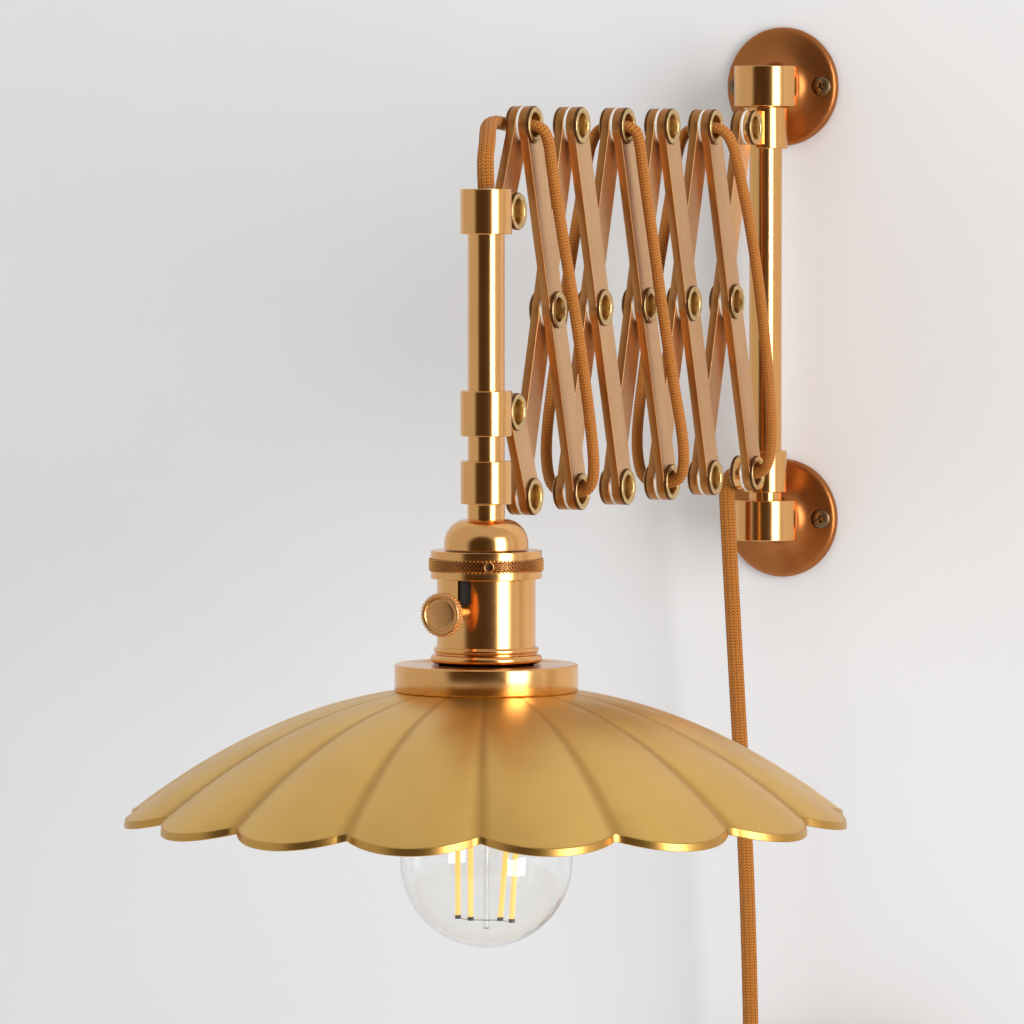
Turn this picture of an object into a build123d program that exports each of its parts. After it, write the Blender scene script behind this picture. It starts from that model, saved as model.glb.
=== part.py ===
from build123d import *
import math
import os

# An accordion wall lamp: five crossing pairs of flat links between a rod on the wall and a lampholder
# that hangs from a short front tube. Millimetres, +Z up. The origin is the middle of the four wall
# screws on the wall's face; the arm reaches out along -Y, and near links are on the +X side.

# ---- wall side ----
ROSE_SPACING = 219.1
ROSE_RADIUS = 30.0
ROSE_RIM = 2.2
ROSE_SLOPE = ((28.0, 4.0), (15.5, 7.8), (12.0, 10.5), (11.0, 13.5))
ROD_STANDOFF = 24.0
ROD_RADIUS = 8.25
SOCKET_RADIUS = 16.0
SOCKET_HEIGHT = 20.3
SOCKET_DEPTH = 15.5
SPIGOT_RADIUS = 8.0
SPIGOT_WALL_GAP = 3.0
SPIGOT_TIP = 12.0
SCREW_SPREAD = 23.0
SCREW_SHANK_RADIUS = 2.0
SCREW_THREAD_RADIUS = 2.1
SCREW_HEAD_RADIUS = 4.85
SCREW_SEAT_HEIGHT = 2.4
SCREW_HEAD_CONE = 2.7
SCREW_DOME = ((2.6, 1.4),)
SCREW_IN_WALL = 28.0
SCREW_CLEARANCE = 0.2

# ---- scissor arm ----
PAIRS = 5
LINK_LENGTH = 182.0
REST_ANGLE = 17.6
SHORT_LENGTH = 44.5
SHORT_ANGLE = 25.5
PIVOT_OFFSET = 24.0
LINK_THICKNESS = 3.2
BAR_WIDTH = 15.8
HEAD_RADIUS = 8.75
NECK_FILLET = 12.0
WASHER_GAP = 1.3
SIDE_PLAY = 0.1
RUNNING_PLAY = 0.05
GRIP_PLAY = 0.02
EYELET_RADIUS = 5.7
EYELET_BORE = 5.2
EYELET_CREST = 6.2
EYELET_SIDES = 20
FLANGE_RADIUS = 8.3
WALL_FLANGE_RADIUS = 9.3
FLANGE_HEIGHT = 1.7

# ---- collars that carry the arm ----
COLLAR_HEIGHT = 21.0
WALL_COLLAR_RADIUS = 11.0
FRONT_COLLAR_RADIUS = 11.9
EAR_RADIUS = 8.5
COLLAR_GAP = 0.35

# ---- front tube and lampholder, drops measured down from the lower front pivot ----
TUBE_RADIUS = 8.5
TUBE_WALL = 1.2
TUBE_SEAT = 6.0
COUPLER_DROP = 21.9
COUPLER_RADIUS = 11.8
COUPLER_HEIGHT = 19.9
NECK_RADIUS = 8.65
NECK_HEIGHT = 7.1
CAP_RADIUS = 19.5
CAP_HEIGHT = 14.4
CAP_SHOULDER = ((11.0, 0.0), (15.0, 3.0), (18.0, 7.0))
CAP_EDGE = 11.4
RING_RADIUS = 25.75
RING_BAND = 3.2
KNURL_RADIUS = 26.7
KNURL_BAND = 6.5
GRUB_RADIUS = 1.8
GRUB_DEPTH = 6.0
GRUB_RECESS = 0.8
GRUB_AZIMUTH = 27.0
BARREL_RADIUS = 22.85
BARREL_HEIGHT = 31.4
BEADS = ((24.6, 3.4), (25.7, 4.8))
SLOT_WIDTH = 6.8
SLOT_HEIGHT = 12.0
SLOT_DEPTH = 3.0
GALLERY_RADIUS = 42.5
GALLERY_HEIGHT = 12.8
GALLERY_EDGE = 3.0

# ---- switch knob ----
KNOB_DROP = 90.6
KNOB_AZIMUTH = -2.0
KNOB_RADIUS = 10.1
KNOB_THICKNESS = 5.0
KNOB_REACH = 48.0
KNOB_RIDGES = 38
RIDGE_DEPTH = 0.5
SHAFT_RADIUS = 2.8
SHAFT_SEAT = 4.0

# ---- shade: crest radius and drop below the gallery, from the top out to the rim ----
PETALS = 18
SHADE_CREST = ((43.0, 0.0), (82.6, 10.7), (121.0, 27.5), (154.6, 49.2), (167.7, 59.3))
SHADE_SHEET = 1.4
CREASE_AT_TOP = 0.6
CREASE_AT_RIM = 3.6
PETAL_STEPS = 6
PETAL_ROUNDNESS = 1.8
RIM_SCALLOP = 0.47

# ---- lamp socket and bulb ----
HOLDER_RADIUS = 19.6
HOLDER_BOTTOM = 161.0
HOLDER_WALL = 3.0
SHADE_RING_RADIUS = 24.0
SHADE_RING_HEIGHT = 3.5
SHELL_GAP = 2.2
SHELL_RADIUS = HOLDER_RADIUS - HOLDER_WALL - SHELL_GAP
SHELL_WALL = 0.5
SHELL_HEIGHT = 25.0
SHELL_RECESS = 3.0
BULB_CAP_GAP = 0.8
BULB_CAP_RADIUS = SHELL_RADIUS - SHELL_WALL - BULB_CAP_GAP
BULB_CAP_HEIGHT = 24.0
CONTACT_RADIUS = 5.0
CONTACT_HEIGHT = 2.5
BULB_CENTRE_DROP = 207.5
BULB_RADIUS = 40.0
BULB_NECK_STEP = 1.4
BULB_NECK_RADIUS = BULB_CAP_RADIUS + BULB_NECK_STEP
BULB_BANDS = 10
BULB_SIDES = 36
GLASS_WALL = 1.0
FILAMENT_RADIUS = 0.9
FILAMENT_SPREAD = (-12.9, -5.8, 6.5, 12.5)
FILAMENT_TOP = 12.0
FILAMENT_BOTTOM = 26.5

# ---- cord: each list runs from the upper eyelet down, as (stand-off, distance along the link), and a
# negative distance is measured back from the lower eyelet ----
CORD_RADIUS = 3.5
CORD_SIDE = 6.2
CORD_SPLIT = 0.15
CORD_EXIT = 8.6
NEAR_FIRST = ((CORD_EXIT, 0), (12.6, 7.5), (13.2, 22), (15.0, 55), (15.8, 90), (15.4, -56), (14.4, -24),
              (12.8, -7.5), (CORD_EXIT, LINK_LENGTH))
NEAR_MIDDLE = ((CORD_EXIT, 0), (10.6, 7.5), (10.4, 22), (11.1, 55), (11.5, 90), (12.4, -56), (14.2, -24),
               (12.8, -7.5), (CORD_EXIT, LINK_LENGTH))
NEAR_LAST = ((CORD_EXIT, 0), (13.4, 7.5), (15.2, 22), (17.8, 55), (18.6, 90), (18.0, -56), (16.4, -24),
             (13.2, -7.5), (CORD_EXIT, LINK_LENGTH))
FAR_STRETCH = ((CORD_EXIT, 0), (12.8, 7.5), (13.8, 22), (15.2, 55), (16.4, 90), (17.0, -56), (16.8, -24),
               (13.4, -7.5), (CORD_EXIT, LINK_LENGTH))
FRONT_FROM_TUBE = ((0, 0, 0.3), (0, 0, 13.5), (-5, 5, 23.5))
FRONT_TO_EYELET = ((-13, -23.2, 0.8), (-15.4, -8, 0.3), (-8.8, 0, 0), (-CORD_SPLIT, 0, 0))
HANGING_ROUTE = ((-8.6, 0, 0), (-12.4, 0, -7.5), (-12.7, 0.4, -24), (-12.0, 2, -60),
                 (-10.6, 5.4, -110), (-8.4, 8.6, -170), (-6.8, 11.2, -230), (-6.0, 12.0, -287))
COIL_GAP = 0.3
COIL_ENTRY = 58.0
COIL_OUTER = 50.0
COIL_PITCH = 7.6
COIL_TURNS = 2
COIL_TAIL = 62.0
PLUG_BODY = (26.0, 16.0, 34.0)
PLUG_BLADE = (1.5, 6.3, 17.0)
PLUG_BLADE_SPACING = 12.7

# ---- worked out from the sizes above ----
PITCH = LINK_LENGTH * math.sin(math.radians(REST_ANGLE))
SPAN = LINK_LENGTH * math.cos(math.radians(REST_ANGLE))
ROSE_Z = ROSE_SPACING / 2
UPPER_Z = ROSE_Z - SOCKET_HEIGHT / 2 - COLLAR_GAP - COLLAR_HEIGHT / 2
LOWER_Z = UPPER_Z - SPAN
WALL_PIVOT_Y = -ROD_STANDOFF - PIVOT_OFFSET
INNER_X = WASHER_GAP / 2
OUTER_X = INNER_X + LINK_THICKNESS
SHORT_REACH = SHORT_LENGTH * math.sin(math.radians(SHORT_ANGLE))
SHORT_RISE = SHORT_LENGTH * math.cos(math.radians(SHORT_ANGLE))


def upper_pivot(index):
    """Place of the upper pivot with this number, where 0 is the front one."""
    return Vector(0, WALL_PIVOT_Y - (PAIRS - index) * PITCH, UPPER_Z)


def lower_pivot(index):
    """Place of the lower pivot with this number, where 0 is the front one."""
    return Vector(0, WALL_PIVOT_Y - (PAIRS - index) * PITCH, LOWER_Z)


def middle_pivot(index):
    """Place of the crossing of pair number index, 1 to PAIRS."""
    return (upper_pivot(index - 1) + lower_pivot(index)) * 0.5


FRONT_UPPER = upper_pivot(0) + Vector(0, -SHORT_REACH, -SHORT_RISE)
FRONT_LOWER = lower_pivot(0) + Vector(0, -SHORT_REACH, SHORT_RISE)
TUBE_Y = FRONT_UPPER.Y - PIVOT_OFFSET
TUBE_TOP = FRONT_UPPER.Z + COLLAR_HEIGHT / 2
COUPLER_TOP = FRONT_LOWER.Z - COUPLER_DROP
NECK_TOP = COUPLER_TOP - COUPLER_HEIGHT
CAP_TOP = NECK_TOP - NECK_HEIGHT
RING_TOP = CAP_TOP - CAP_HEIGHT
RING_HEIGHT = 2 * RING_BAND + KNURL_BAND
BARREL_TOP = RING_TOP - RING_HEIGHT
FOOT_HEIGHT = sum(height for radius, height in BEADS)
GALLERY_TOP = BARREL_TOP - BARREL_HEIGHT - FOOT_HEIGHT
SHADE_TOP = GALLERY_TOP - GALLERY_HEIGHT
HOLDER_LOW = FRONT_LOWER.Z - HOLDER_BOTTOM
BULB_CENTRE = FRONT_LOWER.Z - BULB_CENTRE_DROP
SHELL_LOW = HOLDER_LOW + SHELL_RECESS
SHELL_TOP = SHELL_LOW + SHELL_HEIGHT
BULB_TIP = SHELL_TOP - SHELL_WALL
NECK_BOTTOM = BULB_TIP - CONTACT_HEIGHT - BULB_CAP_HEIGHT


def turned(points):
    """Body of revolution about Z from (radius, height) points."""
    outline = make_face(Polyline(*points, close=True).edges())
    return revolve(Plane.XZ * outline, Axis.Z)


def flat_face(*points):
    """Plane face through its corners."""
    return Face(Wire.make_polygon(points, close=True))


def faceted(points, sides):
    """Body about Z with flat sides, from (radius, height) points whose heights all rise."""
    turns = [2 * math.pi * step / sides for step in range(sides)]
    rings = [[Vector(r * math.cos(t), r * math.sin(t), z) for t in turns] for r, z in points]
    faces = [flat_face(*rings[0]), flat_face(*rings[-1])]
    for low, high in zip(rings, rings[1:]):
        for a, b, c, d in zip(low, low[1:] + low[:1], high[1:] + high[:1], high):
            faces.append(flat_face(a, b, c, d))
    return Solid(Shell(faces))


def along_x(shape):
    """Lays a body that stands on Z down along +X."""
    return Rot(0, 90, 0) * shape


def toward_room(shape):
    """Lays a body that stands on Z down along -Y, out of the wall."""
    return Rot(90, 0, 0) * shape


def drum(radius, low, high):
    """Upright cylinder about Z between two heights."""
    return Pos(0, 0, low) * Cylinder(radius, high - low, align=(Align.CENTER, Align.CENTER, Align.MIN))


def pin_hole(point, radius):
    """Cutter along X through every layer of the arm at a pivot."""
    reach = OUTER_X + FLANGE_HEIGHT
    return Pos(*point) * along_x(drum(radius, -reach, reach))


# ---- wall side ----
def screw_head_points(grow):
    """Countersunk part of a wall screw, from its shank up to its rim, made wider by grow."""
    seat = SCREW_SEAT_HEIGHT
    rim = seat + SCREW_HEAD_CONE
    return [(SCREW_SHANK_RADIUS + grow, seat), (SCREW_HEAD_RADIUS + grow, rim)]


def wall_rose(height):
    """Domed rose with a trumpet neck, a bore for the spigot and two countersunk holes."""
    edge = [(0, 0), (ROSE_RADIUS, 0), (ROSE_RADIUS, ROSE_RIM), *ROSE_SLOPE, (0, ROSE_SLOPE[-1][1])]
    rose = toward_room(turned(edge))
    top = ROSE_SLOPE[-1][1] + 1
    hole_points = [(0, -1), (SCREW_SHANK_RADIUS + SCREW_CLEARANCE, -1)]
    hole_points += screw_head_points(SCREW_CLEARANCE)
    hole_points += [(SCREW_HEAD_RADIUS + SCREW_CLEARANCE, top), (0, top)]
    screw_hole = toward_room(turned(hole_points))
    rose -= Pos(0, -ROD_STANDOFF, 0) * drum(SOCKET_RADIUS, -ROSE_RADIUS, ROSE_RADIUS)
    rose -= toward_room(drum(SPIGOT_RADIUS, -1, top))
    for side in (-1, 1):
        rose -= Pos(side * SCREW_SPREAD, 0, 0) * screw_hole
    return Pos(0, 0, height) * rose


def rod_socket(height, mouth):
    """Thick short collar that holds one end of the wall rod; mouth is -1 for the upper one."""
    half = SOCKET_HEIGHT / 2
    body = drum(SOCKET_RADIUS, -half, half)
    bore_end = mouth * half
    bore_start = mouth * (half - SOCKET_DEPTH)
    body += Pos(0, ROD_STANDOFF, 0) * toward_room(drum(SPIGOT_RADIUS, SPIGOT_WALL_GAP, SPIGOT_TIP))
    body -= drum(ROD_RADIUS, min(bore_start, bore_end), max(bore_start, bore_end))
    return Pos(0, -ROD_STANDOFF, height) * body


def wall_rod():
    """Upright rod between the blind bores of the two sockets."""
    end = ROSE_Z - SOCKET_HEIGHT / 2 + SOCKET_DEPTH
    return Pos(0, -ROD_STANDOFF, 0) * drum(ROD_RADIUS, -end, end)


def wall_screw(side, height):
    """Oval-head countersunk screw, its shank standing behind the wall's face."""
    rim = SCREW_SEAT_HEIGHT + SCREW_HEAD_CONE
    dome = [(radius, rim + rise) for radius, rise in SCREW_DOME]
    points = [(0, -SCREW_IN_WALL), (SCREW_THREAD_RADIUS, -SCREW_IN_WALL), (SCREW_THREAD_RADIUS, 0)]
    points += [(SCREW_SHANK_RADIUS, 0), *screw_head_points(0), *dome, (0, dome[-1][1])]
    return Pos(side * SCREW_SPREAD, 0, height) * toward_room(turned(points))


# ---- scissor arm ----
def link(start, end, eyes, hole_radius, inner_x):
    """Flat link with round heads at its eyes, drawn along its own length and extruded along +X."""
    run = end - start
    length = run.length
    outline = Pos(length / 2, 0) * Rectangle(length, BAR_WIDTH)
    for place in eyes:
        outline += Pos(place, 0) * Circle(HEAD_RADIUS)
    half = BAR_WIDTH / 2
    corners = [v for v in outline.vertices() if abs(abs(v.Y) - half) < 1e-4]
    outline = fillet(corners, NECK_FILLET)
    for place in eyes:
        outline -= Pos(place, 0) * Circle(hole_radius)
    own_plane = Plane(origin=(inner_x, start.Y, start.Z), x_dir=run, z_dir=(1, 0, 0))
    return extrude(own_plane * outline, LINK_THICKNESS)


def near_link(start, end, eyes):
    """Link of the near layer, whose holes grip the eyelets."""
    return link(start, end, eyes, EYELET_RADIUS + GRIP_PLAY, INNER_X)


def far_link(start, end, eyes):
    """Link of the far layer, whose holes turn on the eyelets."""
    return link(start, end, eyes, EYELET_RADIUS + RUNNING_PLAY, -OUTER_X)


def eyelet(point, flange=FLANGE_RADIUS):
    """Hollow rivet through a near and a far piece, with a coned flange at each end."""
    far_seat = -OUTER_X - SIDE_PLAY
    crest = OUTER_X + FLANGE_HEIGHT
    body = faceted([(EYELET_CREST, -crest), (flange, far_seat)], EYELET_SIDES)
    body += faceted([(EYELET_RADIUS, far_seat), (EYELET_RADIUS, OUTER_X)], EYELET_SIDES)
    body += faceted([(flange, OUTER_X), (EYELET_CREST, crest)], EYELET_SIDES)
    body -= faceted([(EYELET_BORE, -crest), (EYELET_BORE, crest)], EYELET_SIDES)
    return Pos(*point) * along_x(body)


def collar(pivot, axis_y, radius, bore, near_ear):
    """Round collar on an upright rod or tube, with a flat ear for one pivot of the arm."""
    half = COLLAR_HEIGHT / 2
    body = Pos(0, axis_y, pivot.Z) * drum(radius, -half, half)
    arm = abs(pivot.Y - axis_y)
    toward_axis = math.copysign(1, axis_y - pivot.Y)
    outline = Circle(EAR_RADIUS) + Pos(toward_axis * arm / 2, 0) * Rectangle(arm, 2 * EAR_RADIUS)
    inner = INNER_X if near_ear else -OUTER_X
    ear_plane = Plane(origin=(inner, pivot.Y, pivot.Z), x_dir=(0, 1, 0), z_dir=(1, 0, 0))
    body += extrude(ear_plane * outline, LINK_THICKNESS)
    body -= Pos(0, axis_y, pivot.Z) * drum(bore, -COLLAR_HEIGHT, COLLAR_HEIGHT)
    play = GRIP_PLAY if near_ear else RUNNING_PLAY
    return body - pin_hole(pivot, EYELET_RADIUS + play)


# ---- front tube and lampholder ----
def at_front(shape):
    """Moves a body from the Z axis onto the front tube's axis."""
    return Pos(0, TUBE_Y, 0) * shape


def front_tube():
    """Open tube from the top of the upper front collar down into the coupler."""
    low = COUPLER_TOP - TUBE_SEAT
    tube = drum(TUBE_RADIUS, low, TUBE_TOP) - drum(TUBE_RADIUS - TUBE_WALL, low, TUBE_TOP)
    return at_front(tube)


def tube_coupler():
    """Turned coupler with a thinner neck below and a seat for the tube on top."""
    body = drum(COUPLER_RADIUS, NECK_TOP, COUPLER_TOP) + drum(NECK_RADIUS, CAP_TOP, NECK_TOP)
    return at_front(body - drum(TUBE_RADIUS, COUPLER_TOP - TUBE_SEAT, COUPLER_TOP))


def holder_cap():
    """Domed cap with a rounded shoulder."""
    shoulder = [(radius, CAP_TOP - drop) for radius, drop in CAP_SHOULDER]
    edge = [(CAP_RADIUS, CAP_TOP - CAP_EDGE), (CAP_RADIUS, RING_TOP), (0, RING_TOP)]
    return at_front(turned([(0, CAP_TOP), *shoulder, *edge]))


def grub_place():
    """Turns a body that points along -Y to the grub screw's place on the knurled band."""
    return Pos(0, TUBE_Y, RING_TOP - RING_BAND - KNURL_BAND / 2) * Rot(0, 0, GRUB_AZIMUTH)


def grub_pin(tip):
    """Radial pin of the grub screw's size, from its seat out to the given radius."""
    return grub_place() * toward_room(drum(GRUB_RADIUS, KNURL_RADIUS - GRUB_DEPTH, tip))


def knurled_ring():
    """Clamping ring of two plain bands and a wider knurled one, with a radial screw hole."""
    wide = RING_TOP - RING_BAND
    low = wide - KNURL_BAND
    ring = drum(RING_RADIUS, BARREL_TOP, RING_TOP) + drum(KNURL_RADIUS, low, wide)
    return at_front(ring) - grub_pin(KNURL_RADIUS + 1)


def switch_axis(shape):
    """Turns a body on Z to lie along the switch's axis, starting at the tube's axis."""
    height = FRONT_LOWER.Z - KNOB_DROP
    return Pos(0, TUBE_Y, height) * Rot(0, 0, KNOB_AZIMUTH) * toward_room(shape)


def holder_barrel():
    """Barrel with a slot under the ring, a seat for the switch shaft and two foot beads."""
    foot = BARREL_TOP - BARREL_HEIGHT
    points = [(0, BARREL_TOP), (BARREL_RADIUS, BARREL_TOP), (BARREL_RADIUS, foot)]
    level = foot
    for radius, height in BEADS:
        points += [(radius, level - height / 2), (BARREL_RADIUS, level - height)]
        level -= height
    points.append((0, level))
    slot = Pos(0, -BARREL_RADIUS, BARREL_TOP) * Box(SLOT_WIDTH, 2 * SLOT_DEPTH, 2 * SLOT_HEIGHT)
    body = turned(points) - Rot(0, 0, KNOB_AZIMUTH) * slot
    seat = switch_axis(drum(SHAFT_RADIUS + RUNNING_PLAY, BARREL_RADIUS - SHAFT_SEAT, KNOB_REACH))
    return at_front(body) - seat


def shade_gallery():
    """Round gallery under the barrel, bored for the lamp socket."""
    edge = GALLERY_RADIUS - GALLERY_EDGE
    points = [(HOLDER_RADIUS, GALLERY_TOP), (edge, GALLERY_TOP),
              (GALLERY_RADIUS, GALLERY_TOP - GALLERY_EDGE), (GALLERY_RADIUS, SHADE_TOP),
              (HOLDER_RADIUS, SHADE_TOP)]
    return at_front(turned(points))


def switch_knob():
    """Round knob with fine ridges round its edge, on a plain shaft."""
    count = 2 * KNOB_RIDGES
    ring = []
    for step in range(count):
        radius = KNOB_RADIUS - RIDGE_DEPTH * (step % 2)
        turn = 2 * math.pi * step / count
        ring.append((radius * math.cos(turn), radius * math.sin(turn)))
    disc = extrude(make_face(Polyline(*ring, close=True).edges()), KNOB_THICKNESS)
    back = KNOB_REACH - KNOB_THICKNESS
    shaft = drum(SHAFT_RADIUS, BARREL_RADIUS - SHAFT_SEAT + RUNNING_PLAY, back)
    return switch_axis(Pos(0, 0, back) * disc + shaft)


# ---- shade ----
def petal_ring(crests):
    """Points round the shade at one level, from the crest radius and drop at each place on a petal."""
    ring = []
    for number in range(PETALS * PETAL_STEPS):
        place = number % PETAL_STEPS
        across = 2 * place / PETAL_STEPS - 1
        crest, drop = crests[place]
        depth = CREASE_AT_TOP + (CREASE_AT_RIM - CREASE_AT_TOP) * drop / SHADE_CREST[-1][1]
        radius = crest - depth * abs(across) ** PETAL_ROUNDNESS
        turn = 2 * math.pi * number / (PETALS * PETAL_STEPS)
        ring.append(Vector(radius * math.cos(turn), radius * math.sin(turn), -drop))
    return ring


def rim_crests():
    """Crest radius and drop at each place on a petal's edge, which is lowest in its middle."""
    (near, high), (rim, low) = SHADE_CREST[-2:]
    crests = []
    for place in range(PETAL_STEPS):
        back = RIM_SCALLOP * (2 * place / PETAL_STEPS - 1) ** 2
        crests.append((rim - back * (rim - near), low - back * (low - high)))
    return crests


def strip(first, second):
    """Three-cornered faces between two closed rings of points."""
    faces = []
    for a, b, c, d in zip(first, first[1:] + first[:1], second[1:] + second[:1], second):
        faces += [flat_face(a, b, c), flat_face(a, c, d)]
    return faces


def shade():
    """Thin pleated shade with a hole for the lamp socket and a scalloped rim."""
    upper = [petal_ring([level] * PETAL_STEPS) for level in SHADE_CREST[:-1]]
    upper.append(petal_ring(rim_crests()))
    lower = [[point - Vector(0, 0, SHADE_SHEET) for point in ring] for ring in upper]
    faces = [flat_face(*upper[0]), flat_face(*lower[0])]
    for side in (upper, lower):
        for first, second in zip(side, side[1:]):
            faces += strip(first, second)
    faces += strip(upper[-1], lower[-1])
    sheet = Solid(Shell(faces)) - drum(HOLDER_RADIUS, -2 * SHADE_SHEET, SHADE_SHEET)
    return at_front(Pos(0, 0, SHADE_TOP) * sheet)


# ---- lamp socket and bulb ----
def socket_body():
    """Black lamp socket through the gallery, with the ring that clamps the shade."""
    ring_top = SHADE_TOP - SHADE_SHEET
    ring_low = ring_top - SHADE_RING_HEIGHT
    body = drum(HOLDER_RADIUS, HOLDER_LOW, GALLERY_TOP)
    body += drum(SHADE_RING_RADIUS, ring_low, ring_top)
    return at_front(body - drum(HOLDER_RADIUS - HOLDER_WALL, HOLDER_LOW, SHELL_TOP))


def socket_thread_shell():
    """Metal screw shell, a cup open at the bottom."""
    cup = drum(SHELL_RADIUS, SHELL_LOW, SHELL_TOP)
    return at_front(cup - drum(SHELL_RADIUS - SHELL_WALL, SHELL_LOW, SHELL_TOP - SHELL_WALL))


def bulb_outline(shrink):
    """Half outline of the globe bulb from its neck to its bottom, in flat bands."""
    radius = BULB_RADIUS - shrink
    neck = BULB_NECK_RADIUS - shrink
    start = math.asin(neck / radius)
    end = math.pi - start / 3
    points = [(neck, NECK_BOTTOM)]
    for band in range(BULB_BANDS + 1):
        turn = start + (end - start) * band / BULB_BANDS
        points.append((radius * math.sin(turn), BULB_CENTRE + radius * math.cos(turn)))
    return points[::-1]


def bulb_glass():
    """Hollow globe."""
    return at_front(faceted(bulb_outline(0), BULB_SIDES) - faceted(bulb_outline(GLASS_WALL), BULB_SIDES))


def bulb_cap():
    """Screw cap of the bulb with its end contact."""
    cap = drum(BULB_CAP_RADIUS, NECK_BOTTOM, BULB_TIP - CONTACT_HEIGHT)
    return at_front(cap + drum(CONTACT_RADIUS, BULB_TIP - CONTACT_HEIGHT, BULB_TIP))


def bulb_filaments():
    """Glass stem from the cap with a round foot plate that carries four upright filaments."""
    top = BULB_CENTRE + FILAMENT_TOP
    low = BULB_CENTRE - FILAMENT_BOTTOM
    reach = max(abs(offset) for offset in FILAMENT_SPREAD) + FILAMENT_RADIUS
    stem = drum(BULB_NECK_RADIUS / 3, low, NECK_BOTTOM)
    plates = [Pos(0, 0, level) * Box(2 * reach, 2 * FILAMENT_RADIUS, FILAMENT_RADIUS) for level in (top, low)]
    rods = [Pos(offset, 0, (top + low) / 2) * Box(2 * FILAMENT_RADIUS, 2 * FILAMENT_RADIUS, top - low)
            for offset in FILAMENT_SPREAD]
    group = stem
    for piece in (*plates, *rods):
        group += piece
    return at_front(group)


# ---- cord ----
def corner_radii(points):
    """Largest fair radius at each corner: 0.45 of the shorter run over the tangent of half the turn."""
    radii = []
    for before, here, after in zip(points, points[1:], points[2:]):
        first = here - before
        second = after - here
        half_turn = math.radians(first.get_angle(second)) / 2
        radii.append(0.45 * min(first.length, second.length) / math.tan(half_turn))
    return radii


def swept_cord(path, across):
    """Cord section swept along a path, with its volume compared with section times length."""
    section = Plane(origin=path @ 0, x_dir=across, z_dir=path % 0) * Rectangle(CORD_SIDE, CORD_SIDE)
    tube = sweep(section, path=path)
    expected = section.area * path.length
    return tube, tube.volume / expected, path.length


def cord_stretch(name, points):
    """Tube through the chosen points, rounded at each corner."""
    radii = corner_radii(points)
    first = (points[1] - points[0]).normalized()
    second = points[2] - points[1]
    across = second - first * second.dot(first)
    tube, share, length = swept_cord(FilletPolyline(*points, radius=radii), across)
    listed = " ".join(f"{radius:.0f}" for radius in radii)
    print(f"{name}: length {length:.0f}, volume ratio {share:.4f}, radii {listed}")
    return tube


def along_link(upper, lower, side, shape):
    """Points beside a link, from inside its upper eyelet to inside its lower one."""
    run = lower - upper
    length = run.length
    along = run * (1 / length)
    points = [upper + Vector(side * CORD_SPLIT, 0, 0)]
    for standoff, distance in shape:
        place = min(distance % length if distance < 0 else distance, length)
        points.append(upper + along * place + Vector(side * standoff, 0, 0))
    points.append(lower + Vector(side * CORD_SPLIT, 0, 0))
    return points


def front_points():
    """Route from the top of the front tube round to the far side and into the first eyelet."""
    tube_end = Vector(0, TUBE_Y, TUBE_TOP)
    points = [tube_end + Vector(*step) for step in FRONT_FROM_TUBE]
    return points + [upper_pivot(0) + Vector(*step) for step in FRONT_TO_EYELET]


def hanging_points():
    """Route from the last eyelet's far side down past the lower wall socket."""
    last = lower_pivot(PAIRS)
    return [last + Vector(-CORD_SPLIT, 0, 0)] + [last + Vector(*step) for step in HANGING_ROUTE]


def coil_points():
    """Ends of the coil's half turns: inward in one layer, a climb, and outward in the next."""
    start = hanging_points()[-1] + Vector(0, 0, -COIL_GAP - COIL_ENTRY)
    shrink = COIL_PITCH / 2
    inward = [COIL_OUTER - shrink * step for step in range(2 * COIL_TURNS)]
    climb = inward[-1] - shrink
    outward = [climb + shrink * (step + 1) for step in range(2 * COIL_TURNS + 1)]
    place = start
    ends = [place]
    for number, radius in enumerate([*inward, climb, *outward]):
        layer_step = COIL_PITCH if radius == climb else 0
        heading = 1 if number % 2 == 0 else -1
        place = place + Vector(heading * 2 * radius, layer_step, 0)
        ends.append(place)
    return ends


def coil_edges(ends):
    """Straight entry, one half circle for each pair of ends, and a straight tail."""
    edges = [Line(ends[0] + Vector(0, 0, COIL_ENTRY), ends[0])]
    for number, (start, end) in enumerate(zip(ends, ends[1:])):
        rise = -1 if number % 2 == 0 else 1
        radius = (end - start).length / 2
        edges.append(ThreePointArc(start, (start + end) * 0.5 + Vector(0, 0, rise * radius), end))
    edges.append(Line(ends[-1], ends[-1] + Vector(0, 0, -COIL_TAIL)))
    return edges


def least_gap(ends):
    """Least distance between the surfaces of neighbouring half turns, on points along them."""
    turns = []
    for number, (start, end) in enumerate(zip(ends, ends[1:])):
        rise = -1 if number % 2 == 0 else 1
        centre = (start + end) * 0.5
        arm = start - centre
        angles = [math.pi * step / 24 for step in range(25)]
        turns.append([centre + arm * math.cos(a) + Vector(0, 0, rise * arm.length * math.sin(a)) for a in angles])
    least = COIL_OUTER
    for number, here in enumerate(turns):
        for other in turns[number + 2:]:
            least = min(least, min((p - q).length for p in here for q in other))
    return least - 2 * CORD_RADIUS


def cord_coil():
    """Coil of the cord's unseen rest, one unbroken tube in two layers."""
    ends = coil_points()
    path = Wire(coil_edges(ends))
    tube, share, length = swept_cord(path, (1, 0, 0))
    print(f"cord_coil: length {length:.0f}, volume ratio {share:.4f}, least gap {least_gap(ends):.2f}")
    return tube


def plug():
    """Plain two-blade plug on the cord's end."""
    width, depth, height = PLUG_BODY
    top = coil_points()[-1] + Vector(0, 0, -COIL_TAIL)
    body = Box(width, depth, height, align=(Align.CENTER, Align.CENTER, Align.MAX))
    body = chamfer(body.edges().filter_by(Axis.Z), depth / 4)
    for side in (-1, 1):
        blade = Box(*PLUG_BLADE, align=(Align.CENTER, Align.CENTER, Align.MAX))
        body += Pos(side * PLUG_BLADE_SPACING / 2, 0, -height) * blade
    return Pos(*top) * body


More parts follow.
